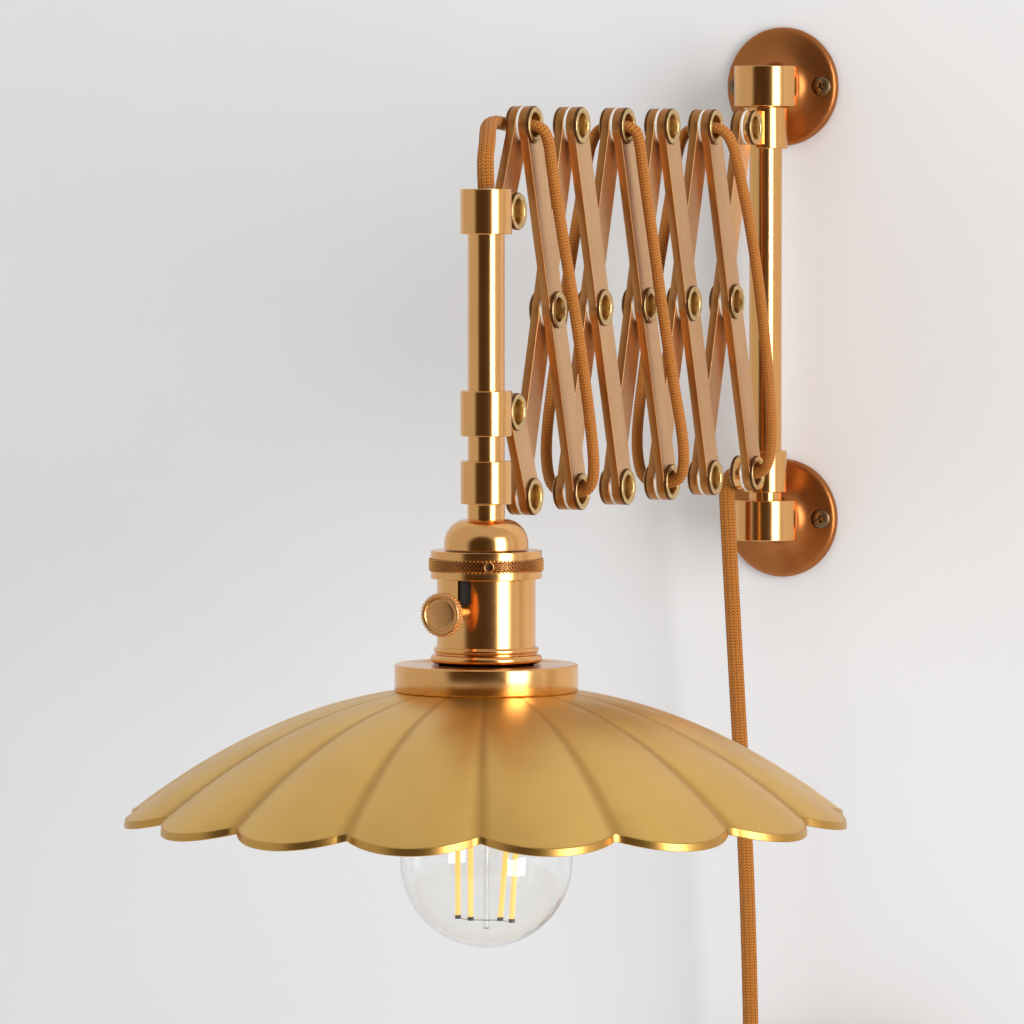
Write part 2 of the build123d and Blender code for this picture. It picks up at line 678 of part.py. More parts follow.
# ---- writing the parts ----
def save(name, shape):
    """Writes one named part."""
    export_step(shape, f"parts/{name}.step")


def save_group(name, shapes):
    """Writes equal pieces that share a name, as separate solids."""
    save(name, Compound(children=[Solid(shape.solid().wrapped) for shape in shapes]))


def save_wall_side():
    """Roses, sockets, rod and screws."""
    save_group("wall_roses", [wall_rose(ROSE_Z), wall_rose(-ROSE_Z)])
    save_group("rod_sockets", [rod_socket(ROSE_Z, -1), rod_socket(-ROSE_Z, 1)])
    save("wall_rod", wall_rod())
    places = [(side, height) for side in (-1, 1) for height in (-ROSE_Z, ROSE_Z)]
    save_group("wall_screws", [wall_screw(side, height) for side, height in places])


def save_arm():
    """Links with their eyelets; near link k runs from upper pivot k-1 down to lower pivot k."""
    long_eyes = (0, LINK_LENGTH / 2, LINK_LENGTH)
    short_eyes = (0, SHORT_LENGTH)
    save("near_link_0", near_link(FRONT_LOWER, lower_pivot(0), short_eyes))
    save("far_link_0", far_link(upper_pivot(0), FRONT_UPPER, short_eyes))
    save_group("near_eyelets_0", [eyelet(FRONT_LOWER), eyelet(lower_pivot(0))])
    for pair in range(1, PAIRS + 1):
        top, low = upper_pivot(pair - 1), lower_pivot(pair)
        save(f"near_link_{pair}", near_link(top, low, long_eyes))
        save(f"far_link_{pair}", far_link(upper_pivot(pair), lower_pivot(pair - 1), long_eyes))
        save_group(f"near_eyelets_{pair}", [eyelet(top), eyelet(middle_pivot(pair)), eyelet(low)])
    save("upper_wall_eyelet", eyelet(upper_pivot(PAIRS), WALL_FLANGE_RADIUS))
    save("front_upper_eyelet", eyelet(FRONT_UPPER))


def save_collars():
    """Two collars on the wall rod and two on the front tube."""
    rod_bore = ROD_RADIUS + RUNNING_PLAY
    tube_bore = TUBE_RADIUS + RUNNING_PLAY
    rod_y = -ROD_STANDOFF
    upper, lower = upper_pivot(PAIRS), lower_pivot(PAIRS)
    save("upper_wall_collar", collar(upper, rod_y, WALL_COLLAR_RADIUS, rod_bore, True))
    save("lower_wall_collar", collar(lower, rod_y, WALL_COLLAR_RADIUS, rod_bore, False))
    save("front_upper_collar", collar(FRONT_UPPER, TUBE_Y, FRONT_COLLAR_RADIUS, tube_bore, True))
    save("front_lower_collar", collar(FRONT_LOWER, TUBE_Y, FRONT_COLLAR_RADIUS, tube_bore, False))


def save_lampholder():
    """Everything that hangs on the front tube."""
    save("front_tube", front_tube())
    save("tube_coupler", tube_coupler())
    save("holder_cap", holder_cap())
    save("knurled_ring", knurled_ring())
    save("ring_grub_screw", grub_pin(KNURL_RADIUS - GRUB_RECESS))
    save("holder_barrel", holder_barrel())
    save("shade_gallery", shade_gallery())
    save("switch_knob", switch_knob())
    save("shade", shade())
    save("socket_body", socket_body())
    save("socket_thread_shell", socket_thread_shell())
    save("bulb_glass", bulb_glass())
    save("bulb_cap", bulb_cap())
    save("bulb_filaments", bulb_filaments())


def save_cord():
    """The cord's stretches, each on the piece that it rides on, and its coil and plug."""
    save("cord_front", cord_stretch("cord_front", front_points()))
    near_shapes = {1: NEAR_FIRST, 3: NEAR_MIDDLE, 5: NEAR_LAST}
    for pair, shape in near_shapes.items():
        points = along_link(upper_pivot(pair - 1), lower_pivot(pair), 1, shape)
        save(f"cord_near_{pair}", cord_stretch(f"cord_near_{pair}", points))
    for pair in (2, 4):
        points = along_link(upper_pivot(pair), lower_pivot(pair - 1), -1, FAR_STRETCH)
        save(f"cord_far_{pair}", cord_stretch(f"cord_far_{pair}", points))
    save("cord_hanging", cord_stretch("cord_hanging", hanging_points()))
    save("cord_coil", cord_coil())
    save("plug", plug())


os.makedirs("parts", exist_ok=True)
save_wall_side()
save_arm()
save_collars()
save_lampholder()
save_cord()
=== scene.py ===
"""Finished looks for an accordion wall lamp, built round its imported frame.

Sizes in the classes are millimetres, as in the part's source, and a piece's mesh is scaled to metres
when the piece is made. +Z is up, the wall is behind at Y = 0, the arm reaches along -Y, and the near
links are on the +X side.
"""

import logging
from collections.abc import Callable
from dataclasses import dataclass
from enum import Enum
from math import asin, atan2, copysign, cos, pi, radians, sin, sqrt, tau

import bmesh
import bpy
from mathutils import Matrix, Vector


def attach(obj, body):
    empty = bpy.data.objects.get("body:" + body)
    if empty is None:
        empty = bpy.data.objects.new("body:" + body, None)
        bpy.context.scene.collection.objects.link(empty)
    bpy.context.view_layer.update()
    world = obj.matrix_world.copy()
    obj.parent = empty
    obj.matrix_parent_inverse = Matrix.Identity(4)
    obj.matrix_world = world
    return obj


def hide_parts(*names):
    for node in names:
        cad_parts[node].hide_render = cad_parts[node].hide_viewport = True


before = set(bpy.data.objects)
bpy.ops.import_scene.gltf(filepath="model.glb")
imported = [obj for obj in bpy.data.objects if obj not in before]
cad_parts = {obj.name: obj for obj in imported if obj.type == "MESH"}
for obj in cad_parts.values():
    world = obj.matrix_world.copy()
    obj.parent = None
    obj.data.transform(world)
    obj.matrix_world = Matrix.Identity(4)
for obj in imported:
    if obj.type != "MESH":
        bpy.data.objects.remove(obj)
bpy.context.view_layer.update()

LOG = logging.getLogger("wall_lamp")
MM = 0.001
BRAID = {"Ribs": 12, "Rib depth": 0.0002, "Pace": 0.0024}
CREASE_POWER = 2.4
POLE = 1e-6
Profile = list[tuple[float, float]]
Triple = tuple[float, float, float]
Body = bmesh.types.BMesh
Thing = bpy.types.Object


class Axis(Enum):
    """Axis that a turned piece was spun about."""

    Y = "Y"
    Z = "Z"


class Side(Enum):
    """Layer of the arm that a piece lies in."""

    NEAR = 1
    FAR = -1


# ---- Objects and node trees ----
def evaluated(thing: Thing) -> bpy.types.Mesh:
    """Mesh of an object with its modifiers applied."""
    graph = bpy.context.evaluated_depsgraph_get()
    return bpy.data.meshes.new_from_object(thing.evaluated_get(graph), depsgraph=graph)


def linked(name: str, data: bpy.types.ID) -> Thing:
    """New object of some data, put in the scene.

    Args:
        name: the object's name.
        data: its data.

    Returns:
        The object.
    """
    made = bpy.data.objects.new(name, data)
    bpy.context.scene.collection.objects.link(made)
    return made


def maths(operation: str, swapped: bool = False) -> Callable[..., "Value"]:
    """Makes a method of Value that adds one Math node.

    Args:
        operation: the node's operation.
        swapped: whether the value is the second operand.

    Returns:
        The method.
    """

    def method(self: "Value", other: object = 0.0) -> "Value":
        """Adds the node and returns its result."""
        operands = (other, self) if swapped else (self, other)
        return self.board.node("ShaderNodeMath", {"operation": operation}, dict(enumerate(operands)))

    return method


class Value:
    """An output of a node that takes part in Python expressions."""

    def __init__(self, board: "Wiring", socket: bpy.types.NodeSocket) -> None:
        """Wraps one output socket.

        Args:
            board: the tree that the socket is in.
            socket: the output socket.
        """
        self.board = board
        self.socket = socket

    __add__ = __radd__ = maths("ADD")
    __mul__ = __rmul__ = maths("MULTIPLY")
    __sub__, __rsub__ = maths("SUBTRACT"), maths("SUBTRACT", True)
    __truediv__, __mod__, __pow__ = maths("DIVIDE"), maths("MODULO"), maths("POWER")
    __abs__, floor, fraction = maths("ABSOLUTE"), maths("FLOOR"), maths("FRACT")
    sine, cosine = maths("SINE"), maths("COSINE")

    def stretched(self, low: float, high: float) -> "Value":
        """Maps low..high to 0..1 smoothly and holds it there.

        Args:
            low: value that becomes 0.
            high: value that becomes 1.

        Returns:
            The mapped value.
        """
        return self.board.node("ShaderNodeMapRange", {"interpolation_type": "SMOOTHSTEP"},
                               {"Value": self, "From Min": low, "From Max": high})


class Wiring:
    """A node tree to which nodes are added, each with its settings and links in one call."""

    def __init__(self, tree: bpy.types.NodeTree) -> None:
        """Empties a tree and takes it."""
        self.tree = tree
        self.tree.nodes.clear()

    def node(self, kind: str, settings: dict[str, object] | None = None,
             inputs: dict[object, object] | None = None, output: object = 0) -> Value | None:
        """Adds a node.

        Args:
            kind: the node's type.
            settings: properties, which are set first; "stops" gives a ramp's (place, colour) pairs.
            inputs: values or links by socket name or number.
            output: name or number of the output that is returned, or None for a last node.

        Returns:
            The chosen output, if any.
        """
        made = self.tree.nodes.new(kind)
        for name, value in (settings or {}).items():
            if name == "stops":
                self._set_stops(made.color_ramp, value)
            else:
                setattr(made, name, value)
        for name, value in (inputs or {}).items():
            if isinstance(value, Value):
                self.tree.links.new(value.socket, made.inputs[name])
            else:
                made.inputs[name].default_value = value
        return None if output is None else Value(self, made.outputs[output])

    @staticmethod
    def _set_stops(ramp: bpy.types.ColorRamp, stops: list[tuple[float, tuple]]) -> None:
        """Sets a ramp's stops.

        Args:
            ramp: the ramp.
            stops: its (place, colour) pairs.
        """
        while len(ramp.elements) < len(stops):
            ramp.elements.new(1.0)
        for element, (place, colour) in zip(ramp.elements, stops):
            element.position = place
            element.color = (*colour, 1.0)

    def parts(self, vector: Value) -> tuple[Value, Value, Value]:
        """X, Y and Z of a vector.

        Args:
            vector: the vector.

        Returns:
            Its three values.
        """
        split = self.node("ShaderNodeSeparateXYZ", None, {0: vector})
        outputs = split.socket.node.outputs
        return tuple(Value(self, outputs[number]) for number in range(3))

    def vector(self, x: object, y: object, z: object) -> Value:
        """A vector from three values."""
        return self.node("ShaderNodeCombineXYZ", None, {0: x, 1: y, 2: z})


class Board(Wiring):
    """Node tree of one material."""

    def __init__(self, name: str) -> None:
        """Makes an empty material with this name.

        Args:
            name: the material's name.
        """
        self.material = bpy.data.materials.new(name)
        self.material.use_nodes = True
        super().__init__(self.material.node_tree)

    def place(self) -> Value:
        """Object coordinates in metres."""
        return self.node("ShaderNodeTexCoord", output="Object")

    def attribute(self, name: str, output: str = "Fac") -> Value:
        """A named attribute of the mesh."""
        return self.node("ShaderNodeAttribute", {"attribute_name": name}, output=output)

    def turn(self, up: Value, across: Value) -> Value:
        """Share of a full turn at which a direction points."""
        return self.node("ShaderNodeMath", {"operation": "ARCTAN2"}, {0: up, 1: across}) / tau

    def noise(self, vector: Value, scale: float, detail: float = 2.0, roughness: float = 0.5) -> Value:
        """Noise from 0 to 1 at points of a vector.

        Args:
            vector: where the noise is read.
            scale: cells to a unit.
            detail: octaves.
            roughness: strength of the finer octaves.

        Returns:
            The noise value.
        """
        return self.node("ShaderNodeTexNoise", None,
                         {"Vector": vector, "Scale": scale, "Detail": detail, "Roughness": roughness})

    def mixed(self, share: object, first: object, second: object) -> Value:
        """Colour between two colours.

        Args:
            share: 0 for the first, 1 for the second.
            first: a colour or a link.
            second: a colour or a link.

        Returns:
            The mixed colour.
        """
        return self.node("ShaderNodeMix", {"data_type": "RGBA"},
                         {"Factor": share, 6: colour_of(first), 7: colour_of(second)}, output=2)

    def bump(self, height: Value, depth: float) -> Value:
        """Normal from a height of 0 to 1 times depth in metres."""
        return self.node("ShaderNodeBump", None, {"Height": height, "Distance": depth, "Strength": 1.0},
                         "Normal")

    def finish(self, **inputs: object) -> bpy.types.Material:
        """Adds the surface shader and closes the board.

        Args:
            inputs: the shader's sockets by name, with _ for a space.

        Returns:
            The material.
        """
        named = {name.replace("_", " "): colour_of(value) for name, value in inputs.items()}
        surface = self.node("ShaderNodeBsdfPrincipled", None, named)
        return self.close(surface)

    def close(self, surface: Value) -> bpy.types.Material:
        """Links a surface to the output and returns the material."""
        self.node("ShaderNodeOutputMaterial", None, {"Surface": surface}, None)
        return self.material


def colour_of(value: object) -> object:
    """A colour of three numbers gets its fourth, and anything else stays."""
    return (*value, 1.0) if isinstance(value, tuple) and len(value) == 3 else value


# ---- Finishes ----
@dataclass(frozen=True)
class Finish:
    """A look's name and the material slot that it stands for."""

    name: str
    slot: str


@dataclass(frozen=True)
class TurnedMetal(Finish):
    """Satin metal with fine tool lines round the axis that the piece was turned about."""

    colour: Triple
    shade: Triple
    axis: Axis = Axis.Z
    centre: Triple = (0.0, 0.0, 0.0)
    roughness: float = 0.24
    line_depth: float = 0.000004
    line_scale: float = 5200.0

    def make(self) -> bpy.types.Material:
        """Builds the material.

        Returns:
            The material.
        """
        board = Board(self.name)
        centred = board.node("ShaderNodeMapping", None,
                             {"Vector": board.place(), "Location": tuple(-MM * c for c in self.centre)})
        x, y, z = board.parts(centred)
        along, across, other = {Axis.Y: (y, x, z), Axis.Z: (z, x, y)}[self.axis]
        distance = (across * across + other * other) ** 0.5
        lines = board.noise(board.vector(distance * self.line_scale, along * self.line_scale, 0.0), 1.0, 3.0)
        streaks = board.noise(board.vector(distance * 420.0, along * 420.0, 0.0), 1.0, 2.0)
        blush = board.noise(centred, 38.0, 3.0, 0.6)
        specks = board.noise(centred, 900.0, 2.0)
        tone = board.mixed(blush.stretched(0.35, 0.7) * 0.3 + streaks * 0.3, self.colour, self.shade)
        rough = self.roughness + streaks * 0.04 + blush * 0.05 - 0.045 + specks.stretched(0.6, 0.8) * 0.02
        normal = board.bump(lines, self.line_depth)
        return board.finish(Base_Color=tone, Metallic=1.0, Roughness=rough, Normal=normal)


@dataclass(frozen=True)
class BrushedPlate(Finish):
    """Satin lacquered plate, brushed along the link, read from the plate's own map."""

    colour: Triple
    shade: Triple
    roughness: float = 0.34
    grain_depth: float = 0.00001

    def make(self) -> bpy.types.Material:
        """Builds the material.

        Returns:
            The material.
        """
        board = Board(self.name)
        along, across, _ = board.parts(board.node("ShaderNodeUVMap", {"uv_map": "UVMap"}))
        grain = board.noise(board.vector(along * 160.0, across * 5200.0, 0.0), 1.0, 3.0)
        wash = board.noise(board.vector(along * 22.0, across * 60.0, 0.0), 1.0, 3.0, 0.6)
        fine = board.noise(board.place(), 1500.0, 2.0)
        tone = board.mixed(wash.stretched(0.3, 0.75) * 0.6 + grain * 0.2, self.colour, self.shade)
        rough = self.roughness + grain * 0.08 + wash * 0.1 - 0.09
        normal = board.bump(grain * 0.7 + fine * 0.3, self.grain_depth)
        return board.finish(Base_Color=tone, Metallic=1.0, Roughness=rough, Normal=normal,
                            Coat_Weight=0.12, Coat_Roughness=0.25)


@dataclass(frozen=True)
class SatinSheet(Finish):
    """Champagne-gold pressed sheet with soft mottling, and painted shade that darkens it towards its creases.
    """

    colour: Triple
    # colour of the painted shade in the creases
    crease: Triple
    roughness: float = 0.36

    def make(self) -> bpy.types.Material:
        """Builds the material.

        Returns:
            The material.
        """
        board = Board(self.name)
        across = abs(board.attribute("across"))
        place = board.place()
        cloud = board.noise(place, 16.0, 4.0, 0.55)
        grain = board.noise(place, 1100.0, 3.0, 0.6)
        # painted shade: the sheet turns to the crease colour towards each crease
        fold = across.stretched(0.8, 1.0)
        tone = board.mixed(fold * 0.55 + cloud.stretched(0.35, 0.75) * 0.22, self.colour, self.crease)
        rough = self.roughness + cloud * 0.1 - 0.05 + grain * 0.06 + fold * 0.05
        return board.finish(Base_Color=tone, Metallic=1.0, Roughness=rough,
                            Normal=board.bump(grain, 0.00002), Coat_Weight=0.08, Coat_Roughness=0.3)


@dataclass(frozen=True)
class BraidedYarn(Finish):
    """Golden-brown braid: columns of V stitches round the cord, read from along and around, with painted
    shade in the valleys between stitches.
    """

    light: Triple
    dark: Triple
    columns: int = 10
    stitch: float = 0.0015

    def make(self) -> bpy.types.Material:
        """Builds the material.

        Returns:
            The material.
        """
        board = Board(self.name)
        along = board.attribute("along")
        cosine, sine, _ = board.parts(board.attribute("around", "Vector"))
        turn = board.turn(sine, cosine)
        column = (turn * self.columns + self.columns).fraction()
        side = abs(column - 0.5)
        strand = (along / self.stitch + side * 1.1).fraction()
        crown = (strand * pi).sine() ** 0.6
        # painted shade: low places between the stitches and columns take the dark colour
        valley = (1.0 - (side * 2.0) ** 5.0) * (side * 18.0).stretched(0.0, 1.0) * 0.7 + 0.3
        height = crown * valley
        thread = board.noise(board.vector(along * 2600.0, turn * 620.0, side * 40.0), 1.0, 2.0)
        wear = board.noise(board.place(), 55.0, 3.0)
        tone = board.mixed(height.stretched(0.15, 0.85) * 0.85 + thread * 0.25 - wear * 0.12,
                           self.dark, self.light)
        rough = 0.78 - height * 0.12 + thread * 0.1
        return board.finish(Base_Color=tone, Roughness=rough, Sheen_Weight=0.08, Sheen_Roughness=0.4,
                            Specular_IOR_Level=0.3, Normal=board.bump(height + thread * 0.2, 0.00026))


@dataclass(frozen=True)
class KnurledMetal(Finish):
    """Turned metal whose skin is cut by two sets of slanting grooves, with painted shade in the grooves."""

    colour: Triple
    groove_shade: Triple
    centre: tuple[float, float]
    first: float
    rise: float
    count: int
    roughness: float = 0.24

    def make(self) -> bpy.types.Material:
        """Builds the material.

        Returns:
            The material.
        """
        board = Board(self.name)
        x, y, z = board.parts(board.place())
        turn = board.turn(y - MM * self.centre[1], x - MM * self.centre[0])
        step = (z - MM * self.first) / (MM * self.rise)
        falls = [1.0 - abs((turn * self.count + step * way + 200.5).fraction() - 0.5) * 2.0
                 for way in (1.0, -1.0)]
        crown = falls[0].stretched(0.05, 0.4) * falls[1].stretched(0.05, 0.4)
        wear = board.noise(board.place(), 260.0, 3.0)
        # painted shade: the grooves between the diamonds take the dark colour
        tone = board.mixed(crown * 0.85 + wear * 0.15, self.groove_shade, self.colour)
        return board.finish(Base_Color=tone, Metallic=1.0, Roughness=self.roughness + wear * 0.1,
                            Normal=board.bump(crown, 0.0004))


@dataclass(frozen=True)
class Moulded(Finish):
    """Moulded plastic or fibre with a fine skin."""

    colour: Triple
    roughness: float = 0.45
    skin: float = 1800.0

    def make(self) -> bpy.types.Material:
        """Builds the material.

        Returns:
            The material.
        """
        board = Board(self.name)
        place = board.place()
        skin = board.noise(place, self.skin, 2.0)
        cloud = board.noise(place, 60.0, 3.0)
        darker = tuple(0.72 * part for part in self.colour)
        tone = board.mixed(cloud.stretched(0.3, 0.8) * 0.5, self.colour, darker)
        return board.finish(Base_Color=tone, Roughness=self.roughness + skin * 0.12 - 0.06,
                            Normal=board.bump(skin, 0.00003))


@dataclass(frozen=True)
class PlainMetal(Finish):
    """Small cast, plated or drawn metal piece with a mottled skin."""

    colour: Triple
    shade: Triple
    roughness: float = 0.22

    def make(self) -> bpy.types.Material:
        """Builds the material.

        Returns:
            The material.
        """
        board = Board(self.name)
        place = board.place()
        mottle = board.noise(place, 320.0, 4.0, 0.6)
        scratch = board.noise(place, 1700.0, 2.0)
        tone = board.mixed(mottle.stretched(0.35, 0.75) * 0.7, self.colour, self.shade)
        rough = self.roughness + mottle * 0.14 - 0.07 + scratch * 0.06
        return board.finish(Base_Color=tone, Metallic=1.0, Roughness=rough,
                            Normal=board.bump(scratch, 0.00002))


@dataclass(frozen=True)
class ClearGlass(Finish):
    """Clear thin glass with the faintest ripple."""

    name: str = "clear bulb glass"
    slot: str = "bulb_glass"

    def make(self) -> bpy.types.Material:
        """Builds the material.

        Returns:
            The material.
        """
        board = Board(self.name)
        ripple = board.noise(board.place(), 45.0, 2.0)
        return board.finish(Base_Color=(0.985, 0.99, 0.985), Roughness=0.0 + ripple * 0.01, IOR=1.45,
                            Transmission_Weight=1.0, Normal=board.bump(ripple, 0.00003))


@dataclass(frozen=True)
class Phosphor(Finish):
    """Yellow coating of an unlit filament, with a faint painted glow."""

    name: str = "filament coating"
    slot: str = "filament_yellow"

    def make(self) -> bpy.types.Material:
        """Builds the material.

        Returns:
            The material.
        """
        board = Board(self.name)
        grain = board.noise(board.place(), 2400.0, 2.0)
        tone = board.mixed(grain, (0.96, 0.62, 0.15), (0.98, 0.70, 0.22))
        # painted glow: the unlit coating emits its own colour
        return board.finish(Base_Color=tone, Roughness=0.5 + grain * 0.1, Emission_Color=tone,
                            Emission_Strength=0.7, Normal=board.bump(grain, 0.00003))


class Finishes:
    """Every finish of the lamp, each made once."""

    TUBE_AXIS = (0.0, -366.31, 0.0)
    COPPER = (0.83, 0.45, 0.165)
    COPPER_SHADE = (0.75, 0.37, 0.12)
    # the roses are a darker copper than the rod, darkened further as painted shade for the dark room that
    # they reflect
    ROSE = (0.45, 0.165, 0.048)
    ROSE_SHADE = (0.37, 0.12, 0.032)
    ROSE_Z = 109.55
    ROD_AXIS = (0.0, -24.0, 0.0)
    KNURL_LOW = -116.806
    KNURL_RISE = 1.8286

    def __init__(self) -> None:
        """Makes the materials."""
        self.kinds = {
            "rod": TurnedMetal("rod copper gold", "copper_gold", self.COPPER, self.COPPER_SHADE,
                               centre=self.ROD_AXIS, roughness=0.17),
            "lamp": TurnedMetal("lampholder copper gold", "copper_gold", self.COPPER, self.COPPER_SHADE,
                                centre=self.TUBE_AXIS, roughness=0.18),
            # rose colours: darker copper, partly painted shade
            **{f"{name}_rose": TurnedMetal(f"{name} rose copper", "rose_copper", self.ROSE, self.ROSE_SHADE,
                                           Axis.Y, (0, 0, height), 0.36)
               for name, height in (("upper", self.ROSE_Z), ("lower", -self.ROSE_Z))},
            "knob": PlainMetal("knob copper gold", "copper_gold", (0.74, 0.38, 0.145),
                               (0.66, 0.325, 0.12), 0.26),
            "link": BrushedPlate("link satin gold", "link_gold", (0.73, 0.44, 0.215), (0.62, 0.345, 0.155)),
            # painted shade: the links' edges take a darker copy of the face finish
            "edge": BrushedPlate("link edge painted shade", "link_gold", (0.50, 0.225, 0.07), (0.41, 0.165, 0.045),
                                 0.42),
            "eyelet": PlainMetal("eyelet pale brass", "eyelet_brass", (0.70, 0.49, 0.225),
                                 (0.50, 0.31, 0.115), 0.26),
            # painted shadow: near-black rings at the eyelets, where each flange stands off its plate
            "shadow": PlainMetal("eyelet seat painted shadow", "eyelet_brass", (0.16, 0.07, 0.03),
                                 (0.08, 0.035, 0.015), 0.5),
            "shade": SatinSheet("shade champagne gold", "shade_gold", (0.77, 0.475, 0.13),
                                (0.44, 0.225, 0.055), 0.33),
            # painted shade: the hem takes darker colours than the shade, for the shade under its turned-down
            # lip
            "hem": SatinSheet("shade hem gold", "shade_gold", (0.62, 0.35, 0.085), (0.40, 0.20, 0.05), 0.3),
            "cord": BraidedYarn("cord golden brown braid", "cord_fabric", (0.60, 0.215, 0.028),
                                (0.135, 0.034, 0.005)),
            "washer": Moulded("white nylon", "", (0.84, 0.83, 0.80), 0.42),
            "knurl": KnurledMetal("knurled copper gold", "copper_gold", (0.83, 0.47, 0.19),
                                  (0.24, 0.09, 0.025), self.TUBE_AXIS[:2], self.KNURL_LOW,
                                  self.KNURL_RISE, 90),
            "black": Moulded("black holder", "socket_black", (0.018, 0.018, 0.019), 0.4),
            "plug": Moulded("black plug", "plug_black", (0.022, 0.021, 0.020), 0.5),
            "bronze": PlainMetal("antique bronze screw", "screw_bronze", (0.24, 0.16, 0.085),
                                 (0.09, 0.06, 0.035), 0.36),
            "nickel": PlainMetal("plated shell", "shell_nickel", (0.72, 0.70, 0.65), (0.50, 0.48, 0.44)),
            "glass": ClearGlass(),
            "stem": ClearGlass("stem glass", "bulb_glass"),
            "filament": Phosphor(),
        }
        self.materials = {name: kind.make() for name, kind in self.kinds.items()}


# ---- Geometry Nodes ----
class Grower(Wiring):
    """A Geometry Nodes tree with named inputs, which ends in Realize Instances and Set Material."""

    def __init__(self, name: str, takes_mesh: bool = True) -> None:
        """Makes the tree.

        Args:
            name: the tree's name.
            takes_mesh: whether the tree starts from the object's own geometry.
        """
        super().__init__(bpy.data.node_groups.new(name, "GeometryNodeTree"))
        self.sockets = {}
        self.start = self.tree.nodes.new("NodeGroupInput")
        self.tree.interface.new_socket("Geometry", in_out="OUTPUT", socket_type="NodeSocketGeometry")
        if takes_mesh:
            self.tree.interface.new_socket("Geometry", in_out="INPUT", socket_type="NodeSocketGeometry")

    def input(self, name: str, kind: str = "Float") -> Value:
        """Adds a named input.

        Args:
            name: what the input is called.
            kind: the last word of its socket type.

        Returns:
            The input as a field.
        """
        socket = self.tree.interface.new_socket(name, in_out="INPUT", socket_type=f"NodeSocket{kind}")
        self.sockets[name] = socket.identifier
        return Value(self, next(s for s in self.start.outputs if s.identifier == socket.identifier))

    def own(self) -> Value:
        """The object's own geometry."""
        return Value(self, self.start.outputs["Geometry"])

    def vectors(self, operation: str, first: Value, second: Value | None = None, **more: object) -> Value:
        """Adds one Vector Math node and returns its result."""
        inputs = {0: first, **({1: second} if second is not None else {}), **more}
        return self.node("ShaderNodeVectorMath", {"operation": operation}, inputs)

    def named(self, name: str) -> Value:
        """A named vector attribute."""
        return self.node("GeometryNodeInputNamedAttribute", {"data_type": "FLOAT_VECTOR"}, {"Name": name})

    def sample(self) -> Value:
        """Geometry of the object in a new input Piece."""
        piece = self.input("Piece", "Object")
        return self.node("GeometryNodeObjectInfo", None, {"Object": piece}, "Geometry")

    def copies(self, points: Value, piece: Value, euler: Value) -> Value:
        """Puts a piece at every point, turned by Euler angles in radians.

        Args:
            points: the points.
            piece: what is put there.
            euler: the turns.

        Returns:
            The instances.
        """
        turn = self.node("FunctionNodeEulerToRotation", None, {0: euler})
        return self.node("GeometryNodeInstanceOnPoints", None,
                         {"Points": points, "Instance": piece, "Rotation": turn})

    def stored(self, geometry: Value, name: str, kind: str, value: Value) -> Value:
        """Stores a field on a geometry's points as a named attribute."""
        return self.node("GeometryNodeStoreNamedAttribute", {"data_type": kind, "domain": "POINT"},
                         {"Geometry": geometry, "Name": name, "Value": value})

    def end(self, geometry: Value) -> None:
        """Closes the tree: instances are realised and the material is set.

        Args:
            geometry: what the tree gives.
        """
        material = self.input("Finish", "Material")
        real = self.node("GeometryNodeRealizeInstances", None, {"Geometry": geometry})
        dressed = self.node("GeometryNodeSetMaterial", None, {"Geometry": real, "Material": material})
        self.node("NodeGroupOutput", None, {"Geometry": dressed}, None)

    def grow(self, start: Thing, values: dict[str, object]) -> bpy.types.Mesh:
        """Runs the tree on an object and returns a plain mesh.

        Args:
            start: object whose geometry the tree takes; it is removed afterwards.
            values: the tree's inputs by name.

        Returns:
            The finished mesh.
        """
        modifier = start.modifiers.new("grow", "NODES")
        modifier.node_group = self.tree
        for name, value in values.items():
            modifier[self.sockets[name]] = value
        mesh = evaluated(start)
        start.modifiers.remove(modifier)
        bpy.data.objects.remove(start)
        return mesh


def repeater() -> Grower:
    """Tree that puts one piece at every point, turned as the point's own turn says.

    Returns:
        The tree.
    """
    grower = Grower("repeat a piece at points")
    shape = grower.sample()
    grower.end(grower.copies(grower.own(), shape, grower.named("turn")))
    return grower


def band_repeater() -> Grower:
    """Tree that sets a piece round the Z axis in rows, each row half a step on from the last.

    Returns:
        The tree.
    """
    grower = Grower("repeat a piece in a band", False)
    shape = grower.sample()
    count = grower.input("Count", "Int")
    rows = grower.input("Rows", "Int")
    radius = grower.input("Radius")
    step = grower.input("Row step")
    height = grower.input("First height")
    points = grower.node("GeometryNodeMeshLine", None, {"Count": count * rows})
    number = grower.node("GeometryNodeInputIndex")
    row = (number / count + 0.0001).floor()
    angle = (number - row * count + (row % 2.0) * 0.5) * tau / count
    place = grower.vector(angle.cosine() * radius, angle.sine() * radius, height + row * step)
    points = grower.node("GeometryNodeSetPosition", None, {"Geometry": points, "Position": place})
    grower.end(grower.copies(points, shape, grower.vector(0.0, 0.0, angle)))
    return grower


def petal_rule(across: object, share: object, low: object, radii: tuple, falls: tuple,
               creases: tuple) -> tuple[object, object]:
    """Rule of one petal, for numbers and for fields.

    Args:
        across: place across the petal, -1 to 1.
        share: place from the shoulder, 0, to the rim, 1; it is below 0 on the flat top.
        low: the same, but never below 0.
        radii: radius of the shoulder and of the rim.
        falls: the whole fall, and the share of it that is straight.
        creases: depth of the crease at the shoulder and at the rim.

    Returns:
        Distance from the axis and distance below the top.
    """
    (top, rim), (fall, straight), (crease_top, crease_rim) = radii, falls, creases
    valley = abs(across) ** CREASE_POWER
    fold = valley * (crease_top + (crease_rim - crease_top) * low) * low ** 0.25
    return top + (rim - top) * share - fold, fall * (low * straight + low * low * (1.0 - straight))


